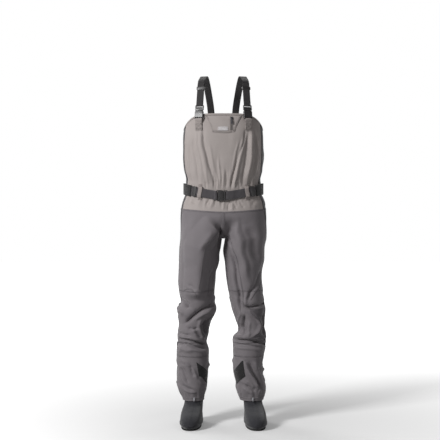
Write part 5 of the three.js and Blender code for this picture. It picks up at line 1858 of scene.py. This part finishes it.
@dataclass
class Suspender:
    """One shoulder strap with its buckle, from the bib over the shoulder to the yoke."""

    finishes: Wardrobe
    trunk: Trunk
    side: int
    buckle: Buckle = field(default_factory=lambda: Buckle(40, 32, 40, 26, 2.6))
    strap_x: float = 106.0
    width: float = 32.0
    web: float = 1.6
    run: float = 128.0
    clear: float = 6.2
    mouth: float = 1410.0
    lean: tuple = (-0.06, 0.2, 1.0)

    def place(self) -> Place:
        """The strap's own frame on the wearer's left: the buckle's mouth, Y up the strap."""
        trunk = self.trunk
        turn = math.degrees(math.asin(self.strap_x / 181))
        edge = float(trunk.top_edge(np.array(turn)))
        face = face_place(trunk, self.strap_x, edge, 0)
        lean = unit(np.array(self.lean))
        across = unit(np.cross(lean, face.z))
        mouth = face.origin + face.z * self.clear + lean * ((self.mouth - edge) / lean[2])
        return Place(mouth, across, lean, np.cross(across, lean))

    def mirror(self, points: Array) -> Array:
        """Points made for the wearer's left, on this strap's side."""
        points = np.array(points, float)
        points[..., 0] *= self.side
        return points

    def ribbon(self, name: str, path: Sequence[Array], across: Array,
               spacing: float = 3.0) -> bpy.types.Object:
        """A length of this strap's webbing."""
        line = self.mirror(smooth_path(np.array(path), spacing))
        mesh = ribbon_mesh(name, line, self.mirror(np.asarray(across)) * self.side, self.width, self.web)
        return link(mesh, name, self.finishes.strap)

    def build(self) -> None:
        """Makes the strap's pieces."""
        hand = SIDE_NAME[self.side]
        place = self.place()
        layer = self.buckle.bar / 2 + self.buckle.fit + self.web / 2
        at_stem = self.buckle.stem - self.buckle.inset
        inner = [place.at(0, self.run, layer), place.at(0, self.run / 2, layer)]
        outer = [place.at(0, self.run / 2, -layer), place.at(0, self.run, -layer)]
        wrapped = self.buckle.wrap(place, at_stem, layer, self.web, -1)
        run = self.ribbon(f"strap_webbing_{hand}", inner + wrapped + outer, place.x, 1.5)
        dress(run, "shell", "strap_webbing", f"strap_run_{hand}")
        top = to_frame(self.mirror(place.at(0, self.run, 0)))
        way = self.mirror(place.y)
        length = self.run - at_stem + 4
        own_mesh(run)
        self.build_tab(hand, place, layer)
        self.build_shoulder(hand, place)
        own = [f"{name}_{hand}" for name in ("bib_prong_outer", "bib_prong_inner", "strap_adjuster")]
        for node, body in ((f"bib_buckle_housing_{hand}", "shell"),
                           (f"bib_buckle_stem_{hand}", f"bib_stem_{hand}"), *zip(own, own)):
            mould(node, node + "_moulding", self.finishes.hardware, 0.5, body, "hardware")
        self.build_ribs(hand, place)

    def build_ribs(self, hand: str, place: Place) -> None:
        """The grip ribs on the stem's outside."""
        lines = []
        for k in range(5):
            y = 5.0 + 2.6 * k
            lines.append(self.mirror(np.stack([place.at(x, y, 4.05) for x in np.linspace(-12, 12, 13)])))
        sew_on(f"stem_ribs_{hand}", lines, self.finishes.hardware, "hardware", 1.0, 0.62,
               f"bib_stem_{hand}")

    def build_tab(self, hand: str, place: Place, layer: float) -> None:
        """The tab that holds the housing, sewn to the bib with a boxed cross."""
        trunk, web, fit = self.trunk, self.web, self.buckle.fit
        bar_at = self.buckle.inset - self.buckle.housing
        x = place.at(0, bar_at, 0)[0]
        inner = fit + web / 2
        outer = inner + web + fit
        under = ((1322, inner), (1340, inner), (1358, inner + 0.6))
        over = ((1357, outer + 2.6), (1340, outer + 0.4), (1328, outer))
        path = [face_point(trunk, x, height, out) for height, out in under]
        path += self.buckle.wrap(place, bar_at, -layer, web, 1)
        path += [face_point(trunk, x, height, out) for height, out in over]
        tab = self.ribbon(f"bib_tab_webbing_{hand}", path, place.x, 1.5)
        tab.data.materials[0] = self.finishes.tab
        dress(tab, "shell", "loop_webbing", f"bib_tab_{hand}")
        low = face_place(trunk, x, 1331, outer + web)
        high = face_place(trunk, x, 1352, outer + web + 1.4)
        half = self.width / 2 - 4
        a, b = low.origin - place.x * half, low.origin + place.x * half
        c, d = high.origin + place.x * half, high.origin - place.x * half
        cross = ((a, b), (b, c), (c, d), (d, a), (a, c), (b, d))
        lines = [self.mirror(np.linspace(p, q, 12)) for p, q in cross]
        sew_on(f"tab_stitches_{hand}", lines, self.finishes.thread, "loop_webbing", 2.4, 0.5)

    def build_shoulder(self, hand: str, place: Place) -> None:
        """The strap over the shoulder, down to the yoke."""
        trunk = self.trunk
        over = ((93, -46, 1562), (88, -14, 1573), (83, 20, 1571), (77, 55, 1549), (69, 84, 1505),
                (60, 102, 1450))
        on_back = ((54, 1398, 4), (50, 1378, 2.2), (48, 1358, 2), (46, 1336, 2))
        path = [place.at(0, self.run + 0.6, 0), place.at(0, self.run + 9, 0)]
        path += [np.array(p, float) for p in over]
        path += [face_point(trunk, x, height, out, -1) for x, height, out in on_back]
        line = smooth_path(np.array(path), 4.0)
        share = np.linspace(0, 24, len(line))[:, None]
        flat = unit(trunk_face(trunk, 54, 1328, -1) - trunk_face(trunk, 42, 1328, -1))
        turn = smooth(0, 16, share)
        across = place.x * (1 - turn) + flat * turn
        mesh = ribbon_mesh(f"shoulder_webbing_{hand}", self.mirror(line),
                           self.mirror(across) * self.side, self.width, self.web)
        strap = link(mesh, f"shoulder_webbing_{hand}", self.finishes.strap)
        dress(strap, "shell", "strap_webbing", f"shoulder_strap_{hand}")


@dataclass
class Yoke:
    """The wide webbing on the back that both straps are sewn under."""

    finishes: Wardrobe
    trunk: Trunk
    low: float = 1328.0
    high: float = 1376.0
    half: float = 70.0

    def build(self) -> None:
        """Makes the yoke and its stitches."""
        rows = []
        share = np.linspace(0, 1, 26)
        for out_a, out_b in ((5.9, 1), (4.2, -1)):
            for v in (share if out_b > 0 else share[::-1]):
                height = self.low + (self.high - self.low) * v
                half = self.half * (0.8 + 0.2 * v)
                rows.append([face_point(self.trunk, x, height, out_a, -1)
                             for x in np.linspace(half, -half, 50)])
        points = np.array(rows).transpose(1, 0, 2)
        mesh = grid_mesh("yoke_webbing", points, closed_round=True, caps=True)
        face_outwards(mesh)
        dress(link(mesh, "yoke_webbing", self.finishes.lumbar), "shell", "back_webbing", "back_yoke")
        lines = []
        for v in (0.08, 0.92):
            height = self.low + (self.high - self.low) * v
            half = self.half * (0.8 + 0.2 * v) - 4
            lines.append(np.array([face_point(self.trunk, x, height, 6.2, -1)
                                   for x in np.linspace(-half, half, 40)]))
        for side in (-1, 1):
            for x0, x1 in ((36, 62), (62, 36)):
                lines.append(np.array([face_point(self.trunk, side * (x0 + (x1 - x0) * t),
                                                  1336 + 32 * t, 6.2, -1)
                                       for t in np.linspace(0, 1, 14)]))
        sew_on("yoke_stitches", lines, self.finishes.dark_thread, "back_webbing", 2.6, 0.5)


@dataclass
class WadingBelt:
    """The belt: buckle, front webbing, wide back section, locks and the loops that carry it."""

    finishes: Wardrobe
    trunk: Trunk
    buckle: Buckle = field(default_factory=lambda: Buckle(46, 38, 34, 17, 3))
    height: float = 1064.0
    width: float = 38.0
    web: float = 2.2
    off: float = 7.0
    buckle_off: float = 10.5
    back_width: float = 50.0
    back_from: float = 62.0
    loop_angle: float = 47.0
    loop_width: float = 18.0
    loop_length: float = 72.0

    def point(self, turn: float, extra: float = 0.0) -> Array:
        """A place on the belt's middle line."""
        ring = self.trunk.base(np.array(turn, float), np.array(self.height))
        out = self.trunk.outward(np.array(turn, float), np.array(self.height))
        out = unit(out * np.array([1.0, 1.0, 0]))
        near = 1 - float(smooth(12, 30, abs(turn)))
        return ring + out * (self.off + (self.buckle_off - self.off) * near + extra)

    def on_belt(self, turn: float) -> Place:
        """The belt's own frame at a turn: Y along it, Z out."""
        way = unit(self.point(turn + 1) - self.point(turn - 1))
        out = unit(np.cross(way, np.array([0, 0, 1.0])))
        return Place(self.point(turn), np.cross(way, out), way, out)

    def build(self) -> None:
        """Makes the belt's pieces."""
        finishes = self.finishes
        mouth = self.point(0)
        place = Place(mouth, [0, 0, -1], [1, 0, 0], [0, -1, 0])
        layer = self.buckle.bar / 2 + self.buckle.fit + self.web / 2
        for side, bar_at in ((LEFT, self.buckle.stem - self.buckle.inset),
                             (RIGHT, self.buckle.inset - self.buckle.housing)):
            path = []
            turn = self.back_from - 1
            while turn > 16:
                path.append(self.point(side * turn, layer * (1 - float(smooth(14, 30, turn)))))
                turn -= 5
            path += self.buckle.wrap(place, bar_at, layer, self.web, -side)
            path.append(place.at(0, bar_at + side * 18, -layer))
            line = smooth_path(np.array(path), 2.0)
            name = f"belt_webbing_{SIDE_NAME[side]}"
            mesh = ribbon_mesh(name, line, np.array([0, 0, 1.0]), self.width, self.web)
            webbing = link(mesh, name, finishes.belt)
            dress(webbing, "shell", "belt_webbing", f"belt_front_{SIDE_NAME[side]}")
            if side == LEFT:
                far = to_frame(self.point(self.back_from - 1))
                reach = (far[0] - to_frame(place.at(0, bar_at, 0))[0]) / MM
                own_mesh(webbing)
        sweep = np.linspace(self.back_from, 360 - self.back_from, 130)
        line = np.array([self.point(float(t if t <= 180 else t - 360)) for t in sweep])
        mesh = ribbon_mesh("belt_back_webbing", line, np.array([0, 0, 1.0]), self.back_width, self.web)
        dress(link(mesh, "belt_back_webbing", finishes.lumbar), "shell", "back_webbing", "belt_back")
        for side in (LEFT, RIGHT):
            self.build_loop(side)
        pieces = [("belt_buckle_housing", "shell"), ("belt_buckle_stem", "belt_stem"),
                  ("belt_prong_lower", "belt_prong_lower"), ("belt_prong_upper", "belt_prong_upper"),
                  ("belt_lock_left", "shell"), ("belt_lock_right", "shell")]
        for node, body in pieces:
            mould(node, node + "_moulding", finishes.hardware, 0.5, body, "hardware")
        lines = []
        for k in range(7):
            z = -12.0 + 4.0 * k
            lines.append(np.stack([place.at(z, y, 5.05) for y in np.linspace(4.0, 11.0, 7)]))
        sew_on("belt_stem_ribs", lines, finishes.hardware, "hardware", 1.0, 0.62, "belt_stem")

    def build_loop(self, side: int) -> None:
        """A loop of tape sewn above and below the belt, with its bar tacks."""
        trunk, hand = self.trunk, SIDE_NAME[side]
        angle = side * self.loop_angle
        place = self.on_belt(angle)
        half, inner = self.loop_length / 2, self.width / 2
        over = self.web / 2 + 0.4 + 0.8

        def sewn(rise: float) -> Array:
            """A point on the cloth, above or below the belt's middle line."""
            turn, height = np.array(angle), np.array(self.height + rise)
            out = unit(trunk.outward(turn, height) * np.array([1.0, 1.0, 0]))
            return trunk.base(turn, height) + out * 2

        over_belt = [place.at(-rise, 0, out)
                     for rise, out in ((-inner - 1, over), (0, over + 0.3), (inner + 1, over))]
        path = [sewn(-half), sewn(-half + 7), sewn(-inner - 8), *over_belt,
                sewn(inner + 8), sewn(half - 7), sewn(half)]
        line = smooth_path(np.array(path), 2.0)
        mesh = ribbon_mesh(f"loop_tape_{hand}", line, place.y, self.loop_width, 1.6, 0.2)
        piece = link(mesh, f"loop_tape_{hand}", self.finishes.tape)
        dress(piece, "shell", "loop_webbing", f"belt_loop_{hand}")
        lines = []
        for end in (sewn(-half + 2.5), sewn(half - 2.5), sewn(-inner - 9.5), sewn(inner + 9.5)):
            lines.append(np.linspace(end - place.y * 6.5, end + place.y * 6.5, 16) + place.z * 1.1)
        sew_on(f"loop_tacks_{hand}", lines, self.finishes.thread, "loop_webbing", 1.1, 0.55)


@dataclass
class ChestPocket:
    """The stash pocket with its upright zip and a plain label."""

    finishes: Wardrobe
    trunk: Trunk
    low: float = 1316.0
    high: float = 1388.0
    half_low: float = 50.0
    half_high: float = 82.0
    zip_x: float = 36.0
    zip_low: float = 1328.0
    zip_high: float = 1384.0
    label: tuple = (-2.0, 1331.0, 23.0, 9.0)

    def lay(self, x: Array, z: Array, out: Array) -> Array:
        """Points over the bib, given as seen from the front."""
        x, z, out = np.broadcast_arrays(x, z, out)
        flat = [trunk_face(self.trunk, float(a), float(b), 1) for a, b in zip(x.ravel(), z.ravel())]
        flat = np.array(flat).reshape(*x.shape, 3)
        flat[..., 1] -= out
        return flat

    def rim(self, v: Array) -> Array:
        """Half the pocket's width at a share of its height, bowed a little."""
        return self.half_low + (self.half_high - self.half_low) * v - 3.0 * np.sin(np.pi * v)

    def build(self) -> None:
        """Makes the pocket's pieces."""
        finishes = self.finishes
        u, v = np.meshgrid(np.linspace(-1, 1, 60), np.linspace(0, 1, 30))
        x = u * self.rim(v)
        z = self.low + (self.high - self.low) * v - 4.0 * (1 - u * u) * (1 - v)
        edge = np.minimum(np.minimum(1 - np.abs(u), v * 0.7), (1 - v) * 0.7)
        puff = 1.5 + 1.1 * smooth(0.0, 0.12, edge) + 1.4 * np.sin(np.pi * np.clip(v, 0, 1)) * (1 - u * u)
        puff += 0.5 * np.sin(x / 13 + z / 21)
        slot = np.exp(-(((x - self.zip_x) / 6.5) ** 4))
        puff = puff * (1 - 0.45 * slot)
        piece = link(grid_mesh("pocket_cloth", self.lay(x, z, puff)), "pocket_cloth", finishes.bib)
        thicken(piece, 1.2)
        dress(piece, "shell", "bib_cloth", "stash_pocket")
        t = np.linspace(0.04, 0.98, 50)
        lines = []
        for side in (-1, 1):
            for inset in (3.0, 7.0):
                rise = self.low + (self.high - self.low) * t
                lines.append(self.lay(side * (self.rim(t) - inset), rise, 2.9))
        s = np.linspace(-0.93, 0.93, 60)
        for rise in (3.0, 7.0):
            lines.append(self.lay(s * self.half_low, self.low + rise - 4.0 * (1 - s * s), 2.9))
        sew_on("pocket_stitches", lines, finishes.thread, "bib_cloth", 2.8, 0.5)
        self.build_zip()
        self.build_label()

    def build_zip(self) -> None:
        """The zip's tape, its two rows of teeth, its slider and its pull."""
        finishes = self.finishes
        u, v = np.meshgrid(np.linspace(-6, 6, 13), np.linspace(self.zip_low - 4, self.zip_high, 40))
        out = 3.3 + 0.6 * np.exp(-((np.abs(u) - 5.4) / 0.8) ** 2) - 0.5 * np.exp(-(u / 1.6) ** 2)
        tape = link(grid_mesh("zip_tape_cloth", self.lay(self.zip_x + u, v, out)), "zip_tape_cloth",
                    finishes.zip_tape)
        thicken(tape, 0.8)
        dress(tape, "shell", "zip_tape", "stash_zip")
        z = np.linspace(self.zip_low, self.zip_high - 2, 30)
        lines = [self.lay(np.full_like(z, self.zip_x + side * 0.9), z + side * 0.35, 3.6)
                 for side in (-1, 1)]
        sew_on("zip_teeth", lines, finishes.zip_tape, "zip_tape", 1.5, 0.75)
        for node, body in (("stash_zip_slider", "zip_slider"), ("stash_zip_pull", "zip_pull")):
            mould(node, node + "_metal", finishes.zip_metal, 0.2, body, "zip_metal")

    def build_label(self) -> None:
        """A plain label with a stitched edge."""
        middle, height, half, tall = self.label
        s = np.linspace(0, 2 * math.pi, 48, endpoint=False)
        outline_x = half * power_curve(np.cos(s), 0.35)
        outline_z = tall * power_curve(np.sin(s), 0.35)
        rows = []
        for share, out in ((0.0, 5.8), (0.5, 5.8), (0.9, 5.8), (0.97, 5.6), (1.0, 5.0), (0.97, 3.4)):
            rows.append(self.lay(middle + outline_x * share, height + outline_z * share,
                                 np.full(48, out)))
        mesh = grid_mesh("label_cloth", np.stack(rows), closed_round=True, flip=True)
        face_outwards(mesh, 1e-6)
        dress(link(mesh, "label_cloth", self.finishes.badge), "shell", "badge_cloth", "chest_badge")
        line = self.lay(middle + outline_x * 0.86, height + outline_z * 0.8, np.full(48, 5.9))
        line = np.vstack([line, line[:1]])
        sew_on("label_stitches", [line], self.finishes.thread, "badge_cloth", 2.0, 0.4)


# ------------------------------------------------------------------------- studio

@dataclass(frozen=True)
class Lamp:
    """A square soft box that looks at the garment's middle."""

    name: str
    place: tuple
    size: float
    power: float

    def build(self) -> None:
        """Hangs the lamp, unseen by the camera."""
        data = bpy.data.lights.new(self.name, "AREA")
        data.size = self.size
        data.energy = self.power
        lamp = bpy.data.objects.new(self.name, data)
        lamp.location = self.place
        aim = Vector((0, 0, 0.85)) - Vector(self.place)
        lamp.rotation_euler = aim.to_track_quat("-Z", "Y").to_euler()
        lamp.visible_camera = False
        bpy.context.collection.objects.link(lamp)


@dataclass(frozen=True)
class Studio:
    """A pale floor that brightens into a white backdrop, soft lamps and the camera."""

    distance: float = 5.0
    lens: float = 90.5
    eye: float = 1.0
    aside: float = -0.0155
    shift: float = -0.039
    ambient: float = 0.24
    paper: float = 0.8
    glow_near: float = 0.12
    glow_far: float = 1.0
    floor_radius: float = 14.0
    lamps: tuple = (
        Lamp("key", (-3.5, -3.1, 2.9), 1.2, 235),
        Lamp("fill", (3.4, -3.4, 1.4), 2.6, 6),
        Lamp("back_left", (-2.6, 3.4, 2.6), 2.0, 60),
        Lamp("back_right", (2.8, 3.2, 2.2), 2.0, 20),
    )

    def build(self) -> None:
        """Makes the floor, the lamps, the sky and the camera."""
        self.build_floor()
        self.build_sky()
        for lamp in self.lamps:
            lamp.build()
        bpy.context.scene.view_settings.view_transform = "Standard"
        data = bpy.data.cameras.new("camera")
        data.lens = self.lens
        data.sensor_width = 36
        data.shift_y = self.shift
        camera = bpy.data.objects.new("camera", data)
        camera.location = (self.aside, -self.distance, self.eye)
        camera.rotation_euler = (math.radians(90), 0, 0)
        bpy.context.collection.objects.link(camera)
        bpy.context.scene.camera = camera

    def build_sky(self) -> None:
        """A white backdrop that lights the scene only a little."""
        world = bpy.data.worlds.new("sky")
        bpy.context.scene.world = world
        world.use_nodes = True
        tree = world.node_tree
        background = tree.nodes["Background"]
        rays = tree.nodes.new("ShaderNodeLightPath")
        level = tree.nodes.new("ShaderNodeMapRange")
        level.inputs["To Min"].default_value = self.ambient
        level.inputs["To Max"].default_value = 1.0
        tree.links.new(rays.outputs["Is Camera Ray"], level.inputs["Value"])
        tree.links.new(level.outputs["Result"], background.inputs["Strength"])
        background.inputs["Color"].default_value = (1, 1, 1, 1)

    def build_floor(self) -> None:
        """A wide sheet of pale paper with a painted glow, faint near the garment, that fades to white
        away from it.
        """
        web = Web("floor")
        x, y, _ = web.parts(web.place())
        away = (x * x + y * y) ** 0.5
        share = away * (1 / 3.2) - 0.12
        glow = web.mix(share, (self.glow_near,) * 3, (self.glow_far,) * 3)
        web.tree.links.new(glow.socket, web.shader.inputs["Emission Color"])
        tone = web.noise(web.place(), 0.6, 2)
        colour = web.mix(tone, shade((self.paper,) * 3, 0.99), shade((self.paper,) * 3, 1.01))
        material = web.finish(colour, 0.9, Specular_IOR_Level=0.0, Emission_Strength=1.0)
        turns = np.linspace(0, 2 * math.pi, 64, endpoint=False)
        radius = self.floor_radius
        ring = [(radius * math.cos(turn), radius * math.sin(turn), 0) for turn in turns]
        mesh = bpy.data.meshes.new("floor")
        mesh.from_pydata(ring, [], [tuple(range(len(ring)))])
        floor = link(mesh, "floor", material)
        floor.visible_diffuse = False


def main() -> None:
    """Builds every sub-assembly in order."""
    logging.basicConfig(level=logging.INFO, format="%(name)s: %(message)s")
    Studio().build()
    finishes = Wardrobe()
    trunk = worn_trunk()
    legs = {side: worn_leg(side, trunk) for side in (LEFT, RIGHT)}
    Shell(finishes, trunk, legs).build()
    ChestPocket(finishes, trunk).build()
    for side in (LEFT, RIGHT):
        GravelGuard(finishes, worn_guard(legs[side])).build()
        StockingFoot(finishes, side).build()
        Suspender(finishes, trunk, side).build()
    Yoke(finishes, trunk).build()
    WadingBelt(finishes, trunk).build()


if __name__ == "__main__":
    main()
